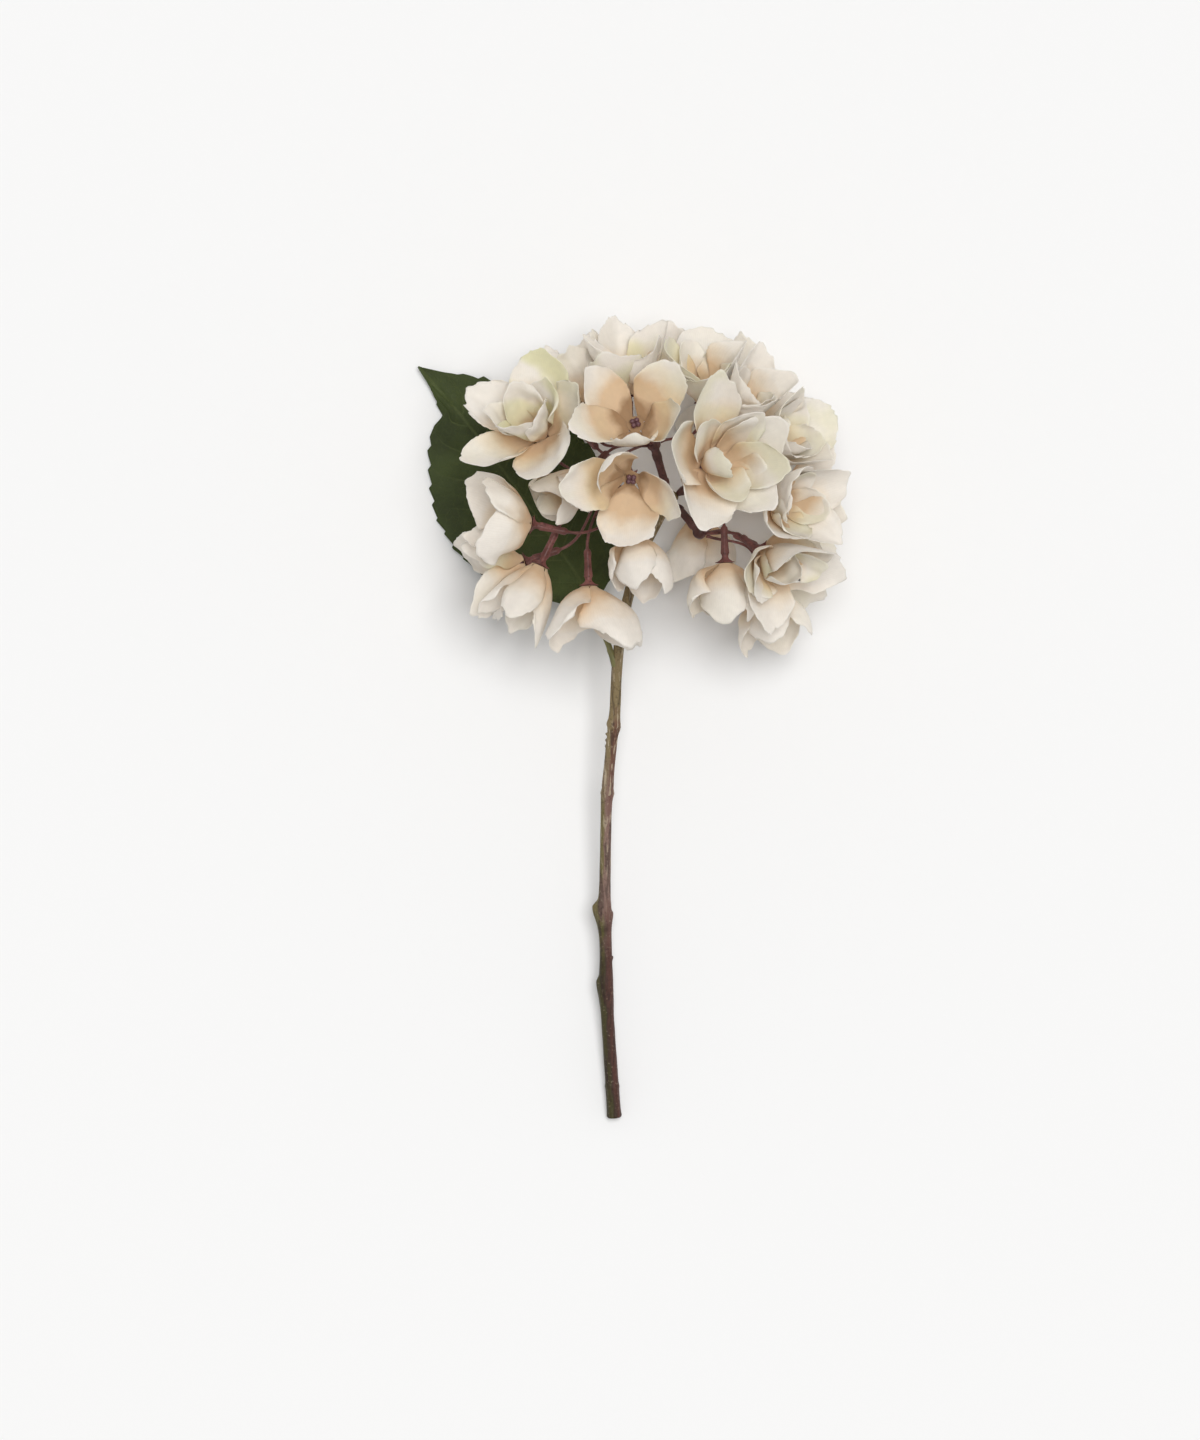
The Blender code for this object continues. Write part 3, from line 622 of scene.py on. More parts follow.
def pressed(points, planes):
    """Points moved off the far side of each plane, smoothly and in order, so no sheet crosses."""
    for softness in SOFTNESSES:
        for origin, normal, clearance in planes:
            depth = (points - origin) @ normal
            edge = clearance + softness
            over = np.minimum(0.0, (depth - edge) / softness)
            target = np.where(depth < edge, clearance + softness * np.exp(over), depth)
            points = points + (target - depth)[..., None] * normal
    return points


def fitted_petals(index, planes):
    """The petals of a floret, each closed just enough that its neighbours press it little."""
    axes, eye = floret_axes(FLORETS[index]), eye_of(FLORETS[index])
    petals = petals_of(index)
    for petal in petals:
        opening = petal["open"]
        for share in FIT_SHARES:
            petal["open"] = opening * share
            grid = petal_surface(petal, 4, 6) @ axes + eye
            if np.linalg.norm(pressed(grid, planes) - grid, axis=2).max() < FIT_PRESS:
                break
    return petals


def bezier(a, b, c, d, count):
    """Points of a cubic from a to d, its ends included."""
    t = np.linspace(0.0, 1.0, count)[:, None]
    return a * (1 - t) ** 3 + b * 3 * t * (1 - t) ** 2 + c * 3 * t**2 * (1 - t) + d * t**3


def pedicel_bend(floret, count):
    """Axis of a pedicel from its knob to its sleeve: out of the knob, then round to the facing."""
    knob, eye, facing = knob_of(floret[0]), eye_of(floret), direction(floret[2], floret[3])
    sleeve = eye - facing * SLEEVE_START
    reach = np.linalg.norm(sleeve - knob)
    out = unit(sleeve - knob)
    start = knob + out * (KNOB_RADIUS + JOINT_GAP)
    leaving, arriving = start + out * reach * LEAVE_SHARE, sleeve - facing * reach * ARRIVE_SHARE
    return bezier(start, leaving, arriving, sleeve, count)


def pedicel_solid(floret):
    """Axis points of the frame's pedicel: five of its bend, then those of the sleeve and peg."""
    eye, facing = eye_of(floret), direction(floret[2], floret[3])
    return np.concatenate([pedicel_bend(floret, 5), eye + facing * SOLID_STATIONS[:, None]])


def smooth_line(points, count):
    """Points evenly spread by chord length on a Catmull-Rom curve through the given ones."""
    points = np.asarray(points, float)
    ends = np.concatenate([[2 * points[0] - points[1]], points, [2 * points[-1] - points[-2]]])
    run = np.concatenate([[0.0], np.cumsum(np.linalg.norm(np.diff(points[:, :3], axis=0), axis=1))])
    place = np.interp(np.linspace(0, run[-1], count), run, np.arange(len(points)))
    i = np.minimum(place.astype(int), len(points) - 2)
    u = (place - i)[:, None]
    a, b, c, d = ends[i], ends[i + 1], ends[i + 2], ends[i + 3]
    return b + u / 2 * (c - a + u * (2 * a - 5 * b + 4 * c - d + u * (3 * (b - c) + d - a)))


def turns_round(count):
    """Angles evenly round a circle, the first one zero."""
    return np.linspace(0, 2 * math.pi, count, endpoint=False)


def rings_round(path, first, second, radii):
    """Rings of points round a path, each turning from its first cross direction to its second."""
    turn = turns_round(radii.shape[1])
    ring = np.cos(turn)[None, :, None] * first[:, None] + np.sin(turn)[None, :, None] * second[:, None]
    return path[:, None] + ring * radii[:, :, None]


def swept(path, across, radii):
    """Rings of points round a path: at each station the turn starts on the given cross direction and
    goes round the path's direction, at that station's radius for each turn."""
    tangent = unit(np.gradient(path, axis=0))
    first = unit(across - tangent * (tangent @ across)[:, None])
    return rings_round(path, first, np.cross(tangent, first), radii)


def grid_faces(rows, closed=False):
    """Quads between neighbouring places of an index grid; closed joins the last column to the first."""
    right = np.roll(rows, -1, axis=1) if closed else rows[:, 1:]
    left = rows if closed else rows[:, :-1]
    return np.stack([left[:-1], left[1:], right[1:], right[:-1]], axis=-1).reshape(-1, 4)


def tube_mesh(rings, first=0):
    """Points and faces of a closed tube: quads between its rings, and a fan to a middle at each end."""
    count, sides = rings.shape[:2]
    rows = np.arange(count * sides).reshape(count, sides) + first
    points = np.concatenate([rings.reshape(-1, 3), rings[:1].mean(1), rings[-1:].mean(1)])
    tail, head = first + count * sides, first + count * sides + 1
    faces = grid_faces(rows, closed=True)[:, ::-1].tolist()
    faces += [(tail, int(b), int(a)) for a, b in zip(rows[0], np.roll(rows[0], -1))][::-1]
    faces += [(head, int(a), int(b)) for a, b in zip(rows[-1], np.roll(rows[-1], -1))]
    return points, faces


# Pieces


def make_piece(name, points, faces, materials, nodes, floats=(), uv=None, slots_of=None):
    """A smooth mesh piece that rides on the root body and stands for the given CAD nodes."""
    mesh = bpy.data.meshes.new(name)
    mesh.from_pydata(np.asarray(points).tolist(), [], [tuple(int(i) for i in f) for f in faces])
    for key, values in floats:
        point_values = mesh.attributes.new(key, "FLOAT", "POINT").data
        point_values.foreach_set("value", np.asarray(values, np.float32))
    if uv is not None:
        loops = np.empty(len(mesh.loops), np.int32)
        mesh.loops.foreach_get("vertex_index", loops)
        mesh.uv_layers.new(name="cloth").data.foreach_set("uv", uv[loops].astype(np.float32).ravel())
    for material in materials:
        mesh.materials.append(material)
    if slots_of is not None:
        mesh.polygons.foreach_set("material_index", np.asarray(slots_of, np.int32))
    mesh.shade_smooth()
    piece = bpy.data.objects.new(name, mesh)
    bpy.context.scene.collection.objects.link(piece)
    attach(piece, "root")
    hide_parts(*nodes)
    return piece


def thicken(piece, thickness, rim):
    """Gives a sheet its thickness; its back, and its rim if that is 1, take the second material."""
    cloth = piece.modifiers.new("cloth", "SOLIDIFY")
    cloth.thickness = thickness
    cloth.offset = 0.0
    cloth.material_offset = 1
    cloth.material_offset_rim = rim


def floret_mesh(index, across, along):
    """Points, quads, point values and cloth places of a floret: rings round the peg, then petals.

    The cloth place of a point is its distance across and along its petal, in mm."""
    planes = planes_round(index)
    axes, eye = floret_axes(FLORETS[index]), eye_of(FLORETS[index])
    random = np.random.default_rng(CLOTH_SEED + index)
    petals = fitted_petals(index, planes)
    grids = [petal_surface(p, across, along, random) for p in petals]
    base = np.concatenate([g[0] for g in grids])
    hole = HOLE_RADIUS / EYE_RADIUS
    rings = np.stack([base * (hole + (1 - hole) * k / EYE_RINGS) for k in range(EYE_RINGS)])
    points = [rings.reshape(-1, 3)]
    cloth = [points[0][:, :2] / MM]
    start = len(points[0])
    values = {key: [np.full(start, value)] for key, value in EYE_VALUES.items()}
    faces, first_rows = [], []
    shares = np.linspace(0, 1, along + 1), np.linspace(-1, 1, across + 1)
    s, t = np.meshgrid(*shares, indexing="ij")
    for petal, grid in zip(petals, grids):
        rows = np.arange(s.size).reshape(s.shape) + start
        first_rows.append(rows[0])
        points.append(grid.reshape(-1, 3))
        chance = random.uniform() + 0 * s
        here = {"along": s, "across": t, "chance": chance, "inner": petal["inner"] + 0 * s}
        for key, value in here.items():
            values[key].append(value.ravel())
        place = np.stack([t * petal["width"] / 2, s * petal["length"]], axis=2)
        cloth.append(place.reshape(-1, 2) / MM)
        faces.append(grid_faces(rows))
        start += s.size
    eye_rows = np.arange(rings.size // 3).reshape(EYE_RINGS, -1)
    faces.append(grid_faces(np.concatenate([eye_rows, np.concatenate(first_rows)[None]]), closed=True))
    points = pressed(np.concatenate(points) @ axes + eye, planes) + LAID_AT
    floats = [(key, np.concatenate(parts)) for key, parts in values.items()]
    floats.append(("peach", np.full(len(points), FLORETS[index][11])))
    floats.append(("green", np.full(len(points), FLORETS[index][12])))
    return points, np.concatenate(faces), floats, np.concatenate(cloth)


class OBJECT_OT_florets(bpy.types.Operator):
    """Makes the cloth petals of every floret"""

    bl_idname = "object.hydrangea_florets"
    bl_label = "Florets"

    def execute(self, context):
        settings = context.scene.hydrangea_petals
        sides = (("petal inside", False), ("petal back", True))
        materials = [petal_material(name, settings, is_back) for name, is_back in sides]
        for index in range(len(FLORETS)):
            name, node = f"petals_{index + 1:02d}", f"floret_{index + 1:02d}"
            points, faces, floats, cloth = floret_mesh(index, settings.across, settings.along)
            piece = make_piece(name, points, faces, materials, [node], floats, cloth)
            thicken(piece, settings.thickness, 1)
        return {"FINISHED"}


def pedicel_rings(floret, sides):
    """Rings of a stalk with its sleeve, calyx and peg.

    Radius by distance from the eye: thin along the bend, a ribbed sleeve with a lip, a narrow neck,
    then a calyx whose five prongs are peaks of the cosine of five times the turn, and a thin peg."""
    eye, facing = eye_of(floret), direction(floret[2], floret[3])
    bend = pedicel_bend(floret, BEND_STATIONS)[:-1]
    profile = np.array(SLEEVE)
    turn = turns_round(sides)[None, :]
    rib, prong = np.cos(LOBES * turn), np.maximum(0, np.cos(LOBES * turn)) ** 2
    radius = profile[:, 1:2] + profile[:, 2:3] * rib + profile[:, 3:4] * prong
    path = np.concatenate([bend, eye + facing * profile[:, :1] * MM])
    swell = 1 + STALK_SWELL * np.sin(np.linspace(0, 9, len(bend)))
    swell[:2] = ROOT_SWELL
    radii = np.concatenate([np.outer(PEDICEL_RADIUS / MM * swell, np.ones(sides)), radius]) * MM
    across = np.cross(unit(bend[1] - bend[0]), facing)
    if np.linalg.norm(across) < 1e-3:
        across = np.array([facing[1], -facing[0], 0.1])
    across = unit(across)
    tangent = unit(np.concatenate([np.gradient(bend, axis=0), np.tile(facing, (len(profile), 1))]))
    first = np.tile(across, (len(path), 1))
    return rings_round(path, first, np.cross(tangent, first), radii) + LAID_AT


def bead_meshes(floret, first):
    """Four round lobes in a square on the peg, each a sphere on a grid of turn and rise."""
    axes, eye = floret_axes(floret), eye_of(floret)
    rise = np.linspace(-0.5, 0.5, BEAD_RISES)[1:-1, None] * math.pi
    turn = turns_round(BEAD_TURNS)[None, :]
    ball = np.cos(rise) * np.cos(turn), np.cos(rise) * np.sin(turn), np.sin(rise) + 0 * turn
    points, faces = [], []
    for x, y in BEAD_CORNERS:
        centre = np.array([x * BEAD_ASIDE, y * BEAD_ASIDE, BEAD_HEIGHT]) * MM
        rings = (np.stack(ball, axis=2) * BEAD_RADII + centre) @ axes + eye + LAID_AT
        ball_points, ball_faces = tube_mesh(rings, first)
        points.append(ball_points)
        faces += ball_faces
        first += len(ball_points)
    return np.concatenate(points), faces


class OBJECT_OT_stalks(bpy.types.Operator):
    """Makes each floret's stalk with its sleeve, calyx, peg and bead"""

    bl_idname = "object.hydrangea_stalks"
    bl_label = "Stalks"

    def execute(self, context):
        settings = context.scene.hydrangea_stalks
        stalk, bead = moulded_material("stalk", settings.maroon, 0.42), bead_material("bead", settings)
        for index, floret in enumerate(FLORETS):
            points, faces = tube_mesh(pedicel_rings(floret, settings.sides))
            bead_points, bead_faces = bead_meshes(floret, len(points))
            kinds = [0] * len(faces) + [1] * len(bead_faces)
            points = np.concatenate([points, bead_points])
            name, node = f"stalk_{index + 1:02d}", f"pedicel_{index + 1:02d}"
            make_piece(name, points, faces + bead_faces, [stalk, bead], [node], slots_of=kinds)
        return {"FINISHED"}


class OBJECT_OT_branches(bpy.types.Operator):
    """Makes the branches of the head, each with its knob"""

    bl_idname = "object.hydrangea_branches"
    bl_label = "Branches"

    def execute(self, context):
        settings = context.scene.hydrangea_stalks
        material = moulded_material("branch", settings.dark, 0.38)
        for name in BRANCHES:
            points, faces = tube_mesh(branch_rings(name, settings.sides))
            make_piece(name + "_moulding", points, faces, [material], [name])
        return {"FINISHED"}


def branch_rings(name, sides):
    """Rings of a branch: a narrow root, a ribbed shaft with two collars, then a lumpy round knob.

    The knob's radius is that of a sphere, with five low lobes round it."""
    knob = knob_of(name)
    along = unit(knob - HUB)
    start = HUB + along * (HUB_RADIUS + JOINT_GAP)
    reach = np.linalg.norm(knob - start)
    shaft = np.array(SHAFT)
    knob_share = 1 - KNOB_RADIUS * np.cos(KNOB_TURNS) / reach
    shares = np.concatenate([shaft[:, 0] * knob_share[0] / SHAFT_END, knob_share])
    radii = np.concatenate([shaft[:, 1] * BRANCH_RADIUS, KNOB_RADIUS * np.sin(KNOB_TURNS)])
    rise = np.linspace(0.4, 1.6, len(shares))[:, None]
    lobes = 1 + KNOB_LOBE * np.cos(LOBES * turns_round(sides)[None, :]) * rise
    path = start + (knob - start) * shares[:, None]
    return swept(path, np.array([0.0, 0.3, 0.95]), radii[:, None] * lobes) + LAID_AT


def stem_rings(sides, count):
    """Rings of the stem: the smooth axis and radius through its table, with low ridges along it, and
    each mark a bump that falls off as a bell along and round, steeper on its upper side."""
    table = list(STEM)
    onward = unit(HUB - np.array(table[-1][:3]) * MM)
    for share, radius in HUB_PROFILE:
        table.append((*((HUB + onward * HUB_RADIUS * share) / MM), radius))
    line = smooth_line(table, count) * MM
    path, radius = line[:, :3], line[:, 3:4]
    turn = turns_round(sides)[None, :]
    run = np.linspace(0, 1, count)[:, None]
    wrinkles = WRINKLE * np.sin(2 * math.pi * WRINKLE_COUNT * run + 2 * np.sin(3 * turn))
    ridges = sum(high * np.sin(a * turn + b * run + phase) for high, a, b, phase in RIDGES)
    radii = radius * (1 + ridges + wrinkles)
    for y, at, height, long, wide in STEM_MARKS:
        off = (path[:, 1:2] / MM - y) / long
        off = np.where(off > 0, off * MARK_STEEPNESS, off)
        apart = np.angle(np.exp(1j * (turn - math.radians(at)))) * radius / MM / wide
        radii = radii + height * MM * np.exp(-(off**2) - apart**2)
    for y, height, long in STEM_RINGS:
        radii = radii + height * MM * np.exp(-(((path[:, 1:2] / MM - y) / long) ** 2))
    radii[:2] *= np.array(CUT_EDGE)[:, None]
    return swept(path, np.array([1.0, 0.0, 0.0]), radii) + LAID_AT


class OBJECT_OT_stem(bpy.types.Operator):
    """Makes the stem with its nodes, buds and scars"""

    bl_idname = "object.hydrangea_stem"
    bl_label = "Stem"

    def execute(self, context):
        rings = stem_rings(STEM_SIDES, STEM_STATIONS)
        points, faces = tube_mesh(rings)
        right = np.concatenate([np.tile(np.cos(turns_round(STEM_SIDES)), STEM_STATIONS), [0.0, 0.0]])
        material = stem_material("stem coat", context.scene.hydrangea_stem)
        make_piece("stem_coated", points, faces, [material], ["stem"], [("right", right)])
        return {"FINISHED"}


def blade_points(across, along, teeth, veins):
    """Grid of the blade's points, its share along and across, and how near each is to a vein.

    Rows lie level across the smooth midrib, as wide as the outline there with forward teeth, and
    droop to each side. Side veins leave the midrib evenly and run forward as they go out; the cloth
    is sunk along them and puffed between them, and the margin waves."""
    s = np.linspace(0.0, 1.0, along + 1)[:, None]
    t = np.linspace(-1.0, 1.0, across + 1)[None, :]
    centre = smooth_line(np.array(LEAF_MIDRIB) * MM, along + 1)
    side = unit(np.cross([0.0, 0.0, 1.0], np.gradient(centre, axis=0)))
    shares, left, right = np.array(LEAF_WIDTHS).T
    half = np.where(t > 0, np.interp(s, shares, left), np.interp(s, shares, right)) * MM
    tooth = (s * teeth + np.where(t < 0, 0.0, 0.4)) % 1.0
    saw = np.where(tooth < TOOTH_TOP, tooth / TOOTH_TOP, (1 - tooth) / (1 - TOOTH_TOP))
    saw = saw * np.clip((0.92 - s) * 12, 0, 1)
    reach = half + TOOTH_DEPTH * (saw - 0.5) * np.abs(t) ** 8 * np.clip(8 * s, 0, 1)
    forward = s + 0.010 * saw * np.abs(t) ** 10
    slope = VEIN_SLOPE * np.abs(t) ** 1.15
    phase = (s - slope) * veins + np.where(t < 0, 0.0, 0.35)
    near = np.abs(phase - np.round(phase))
    side_vein = np.exp(-((near / 0.045) ** 2)) * (1 - np.abs(t) ** 3) * np.clip(np.abs(t) * 12, 0, 1)
    mid_vein = np.exp(-((t * half / MID_VEIN) ** 2))
    fade = np.clip(6 * s, 0, 1) * np.clip((1 - s) * 6, 0, 1)
    puff = PUFF * (1 - np.exp(-((near / 0.22) ** 2))) * (1 - np.abs(t) ** 2) * fade
    ruffle = BLADE_RUFFLE * np.sin(2 * np.pi * (4.3 * s + 0.2 * np.sign(t))) * np.abs(t) ** 3 * fade
    points = np.stack([np.interp(forward, s[:, 0], centre[:, k]) for k in range(3)], axis=2)
    points = points + side[:, None] * (reach * t)[:, :, None]
    points[:, :, 2] += puff + ruffle - GROOVE * mid_vein - LEAF_DROOP * half * np.abs(t)
    points[:, :, 2] = np.maximum(points[:, :, 2], LEAF_SHEET / 2 + 0.1 * MM)
    points = points + LAID_AT + [0, 0, BLADE_LIFT]
    return points, s + 0 * t, t + 0 * s, np.maximum(side_vein * fade, mid_vein)


class OBJECT_OT_leaf(bpy.types.Operator):
    """Makes the blade of the leaf"""

    bl_idname = "object.hydrangea_leaf"
    bl_label = "Leaf blade"

    def execute(self, context):
        settings = context.scene.hydrangea_leaf
        points, s, t, vein = blade_points(*BLADE_GRID, settings.teeth, settings.veins)
        faces = grid_faces(np.arange(s.size).reshape(s.shape))
        cloth = np.stack([t.ravel() * CLOTH_HALF, s.ravel() * CLOTH_LENGTH], axis=1)
        floats = [("vein", vein.ravel())]
        sides = (("leaf top", False), ("leaf back", True))
        materials = [leaf_material(name, settings, is_back) for name, is_back in sides]
        points = points.reshape(-1, 3)
        piece = make_piece("leaf_cloth", points, faces, materials, ["leaf_blade"], floats, cloth)
        thicken(piece, settings.thickness, 0)
        return {"FINISHED"}


class OBJECT_OT_petiole(bpy.types.Operator):
    """Makes the petiole, which goes on under the blade as its midrib"""

    bl_idname = "object.hydrangea_petiole"
    bl_label = "Petiole"

    def execute(self, context):
        points, faces = tube_mesh(petiole_rings(PETIOLE_SIDES))
        material = petiole_material("petiole", context.scene.hydrangea_leaf)
        make_piece("petiole_and_midrib", points, faces, [material], ["leaf_petiole"])
        return {"FINISHED"}


def petiole_rings(sides):
    """Rings of the petiole: a free curve from the stem to the blade, then a taper under the midrib.

    A bell of the angle off the top cuts a channel along it."""
    line = smooth_line(np.array(LEAF_MIDRIB) * MM, MIDRIB_STATIONS)
    places_on = np.linspace(0, 1, MIDRIB_STATIONS)
    shares = np.linspace(0.0, MIDRIB_END_SHARE, RIB_STATIONS)
    rib = np.stack([np.interp(shares, places_on, line[:, k]) for k in range(3)], axis=1)
    rib_radii = MIDRIB_RADIUS * (1.0 - MIDRIB_TAPER * shares / MIDRIB_END_SHARE)
    rib[:, 2] -= LEAF_SHEET / 2 + rib_radii + JOINT_GAP * 0.4
    leaving, arriving = PETIOLE_LEAVE + PETIOLE_OUT, rib[0] + PETIOLE_IN
    root = PETIOLE_LEAVE + PETIOLE_ROOT * np.linspace(1, 0, ROOT_STATIONS)[:-1, None]
    curve = bezier(PETIOLE_LEAVE, leaving, arriving, rib[0], FREE_STATIONS)
    free = np.concatenate([root, curve[:-1]])
    last = len(PETIOLE_RADII) - 1
    free_radii = np.interp(np.linspace(0, last, len(free)), range(last + 1), PETIOLE_RADII) * MM
    path, radii = np.concatenate([free, rib]), np.concatenate([free_radii, rib_radii])
    off_top = np.angle(np.exp(1j * (turns_round(sides)[None, :] - math.pi / 2)))
    channel = 1 - CHANNEL_DEPTH * np.exp(-((off_top / CHANNEL_WIDTH) ** 2))
    return swept(path, np.array([0.84, 0.53, 0.0]), radii[:, None] * channel) + LAID_AT


# Materials


class Shading:
    """A new material on the Principled shader, with a short call for each kind of node it uses."""

    def __init__(self, name):
        self.material = bpy.data.materials.new(name)
        self.material.use_nodes = True
        self.tree = self.material.node_tree
        self.shader = self.tree.nodes["Principled BSDF"]

    def put(self, node, key, value):
        """Links an input, by number or name, to another node's output, or sets its value."""
        if isinstance(value, bpy.types.NodeSocket):
            self.tree.links.new(value, node.inputs[key])
        else:
            node.inputs[key].default_value = value if isinstance(value, float) else tuple(value)

    def add(self, kind, inputs, **settings):
        """A new node with its settings and its inputs."""
        node = self.tree.nodes.new(kind)
        for key, value in settings.items():
            setattr(node, key, value)
        for key, value in inputs.items():
            self.put(node, key, value)
        return node

    def maths(self, operation, a, b=0.0):
        """The output of a Math node."""
        return self.add("ShaderNodeMath", {0: a, 1: b}, operation=operation).outputs[0]

    def plus(self, a, b):
        """Sum of two values."""
        return self.maths("ADD", a, b)

    def minus(self, a, b):
        """Difference of two values."""
        return self.maths("SUBTRACT", a, b)

    def times(self, a, b):
        """Product of two values."""
        return self.maths("MULTIPLY", a, b)

    def line(self, value, factor, start):
        """Start and factor times the value."""
        return self.plus(start, self.times(value, factor))

    def between(self, value, low, high):
        """How far value is from low to high, from 0 to 1, eased."""
        inputs = {0: value, 1: low, 2: high}
        return self.add("ShaderNodeMapRange", inputs, interpolation_type="SMOOTHSTEP").outputs[0]

    def blend(self, share, first, second, mode="MIX"):
        """Two colours mixed by a share."""
        inputs = {0: share, 6: first, 7: second}
        return self.add("ShaderNodeMix", inputs, data_type="RGBA", blend_type=mode).outputs[2]

    def ramp(self, value, stops):
        """A colour by value, through stops of (place, colour)."""
        node = self.add("ShaderNodeValToRGB", {0: value})
        while len(node.color_ramp.elements) < len(stops):
            node.color_ramp.elements.new(0.5)
        for element, (at, colour) in zip(node.color_ramp.elements, stops):
            element.position = at
            element.color = colour
        return node.outputs[0]

    def point_value(self, name):
        """A point value of the piece."""
        return self.add("ShaderNodeAttribute", {}, attribute_name=name).outputs["Fac"]

    def places(self, scale=(1.0, 1.0, 1.0)):
        """Object coordinates, stretched."""
        source = self.add("ShaderNodeTexCoord", {}).outputs["Object"]
        return self.add("ShaderNodeMapping", {0: source, 3: scale}).outputs[0]

    def noise(self, vector, scale, detail=3.0):
        """Noise from 0 to 1."""
        inputs = {"Vector": vector, "Scale": scale, "Detail": detail}
        return self.add("ShaderNodeTexNoise", inputs).outputs[0]

    def weave(self, pitch):
        """Height of a plain weave on the cloth map: the larger of two sets of threads."""
        cloth = self.add("ShaderNodeUVMap", {}, uv_map="cloth").outputs[0]
        split = self.add("ShaderNodeSeparateXYZ", {0: cloth})
        threads = [self.maths("SINE", self.times(split.outputs[k], 2 * math.pi / pitch)) for k in (0, 1)]
        return self.maths("MAXIMUM", *threads)

    def bump(self, height, strength, depth):
        """Bumps the surface by a height and a depth in mm, and returns the normal."""
        inputs = {"Strength": strength, "Distance": depth * MM, "Height": height}
        normal = self.add("ShaderNodeBump", inputs).outputs[0]
        self.put(self.shader, "Normal", normal)
        return normal

    def finish(self, tone, roughness, specular=0.5):
        """Sets the colour, roughness and specular level, and returns the material."""
        self.put(self.shader, "Base Color", tone)
        self.put(self.shader, "Roughness", roughness)
        self.put(self.shader, "Specular IOR Level", specular)
        return self.material


def scaled(colour, factor, offset=0.0):
    """A colour made paler or darker."""
    return (*(min(1.0, c * factor + offset) for c in colour[:3]), 1.0)


def petal_material(name, settings, is_back):
    """Petal cloth: dye that fades from the eye outwards with an uneven edge, a green tint on some
    petals, fine veins that fan from the eye, and a weave. The back is paler and greyer."""
    m = Shading(name)
    along, across = m.point_value("along"), m.point_value("across")
    place = m.places()
    blotch, fine = m.noise(place, 95.0), m.noise(place, 420.0, 4.0)
    middle = m.times(m.times(across, across), 0.16)
    reach = m.plus(m.minus(along, middle), m.times(blotch, 0.34))
    spread = m.times(m.point_value("peach"), 0.04 if is_back else 0.30)
    reach = m.plus(m.minus(reach, spread), 0.02)
    stops = [
        (0.00, settings.base), (0.13, settings.peach), (0.36, settings.peach),
        (0.54, settings.cream), (0.78, settings.edge), (1.00, settings.edge),
    ]
    chance = m.plus(m.point_value("chance"), m.times(m.point_value("inner"), 0.35))
    tint = m.times(m.point_value("green"), m.between(chance, 0.3, 0.9))
    patch = m.between(m.noise(place, 55.0, 1.0), 0.36, 0.60)
    tint = m.times(tint, m.times(patch, m.between(along, 0.05, 0.5)))
    colour = m.blend(m.times(tint, 0.6 if is_back else 0.85), m.ramp(reach, stops), settings.green)
    bent = m.plus(m.times(across, 55.0), m.times(fine, 5.0))
    veins = m.maths("POWER", m.maths("ABSOLUTE", m.maths("SINE", bent)), 6.0)
    faint = m.times(veins, m.times(m.between(along, 0.02, 0.35), 0.06))
    colour = m.blend(faint, colour, (0.62, 0.48, 0.34, 1.0))
    shade = m.line(fine, 0.12, 0.93)
    grey = m.add("ShaderNodeCombineColor", {0: shade, 1: shade, 2: shade}).outputs[0]
    colour = m.blend(1.0, colour, grey, "MULTIPLY")
    height = m.plus(m.times(m.weave(0.34), 0.012), m.times(veins, -0.02))
    normal = m.bump(m.plus(height, m.times(fine, 0.10)), 0.55, 1.0)
    m.put(m.shader, "Sheen Weight", 0.12)
    m.put(m.shader, "Sheen Roughness", 0.5)
    through = m.add("ShaderNodeBsdfTranslucent", {"Color": colour, "Normal": normal})
    mixed = m.add("ShaderNodeMixShader", {0: 0.28, 1: m.shader.outputs[0], 2: through.outputs[0]})
    m.put(m.tree.nodes["Material Output"], "Surface", mixed.outputs[0])
    return m.finish(colour, m.line(fine, 0.16, 0.66), 0.30)


def moulded_material(name, colour, roughness):
    """Moulded plastic: uneven tone, paler on its worn high spots, with a fine grain."""
    m = Shading(name)
    place = m.places()
    cloud, grain = m.noise(place, 160.0), m.noise(place, 900.0, 5.0)
    tone = m.blend(m.between(cloud, 0.35, 0.70), colour, scaled(colour, 1.8, 0.01))
    tone = m.blend(m.between(grain, 0.52, 0.75), tone, scaled(colour, 0.45))
    m.bump(m.plus(m.times(grain, 0.25), m.times(cloud, 0.5)), 0.5, 0.35)
    return m.finish(tone, m.line(cloud, 0.18, roughness - 0.06))


def bead_material(name, settings):
    """The eye's lobes: dark, with a pale bloom of fine grains."""
    m = Shading(name)
    grain = m.noise(m.places(), 1500.0)
    tone = m.blend(m.between(grain, 0.56, 0.72), settings.bead, (0.34, 0.20, 0.20, 1.0))
    m.bump(grain, 0.7, 0.15)
    return m.finish(tone, 0.48)


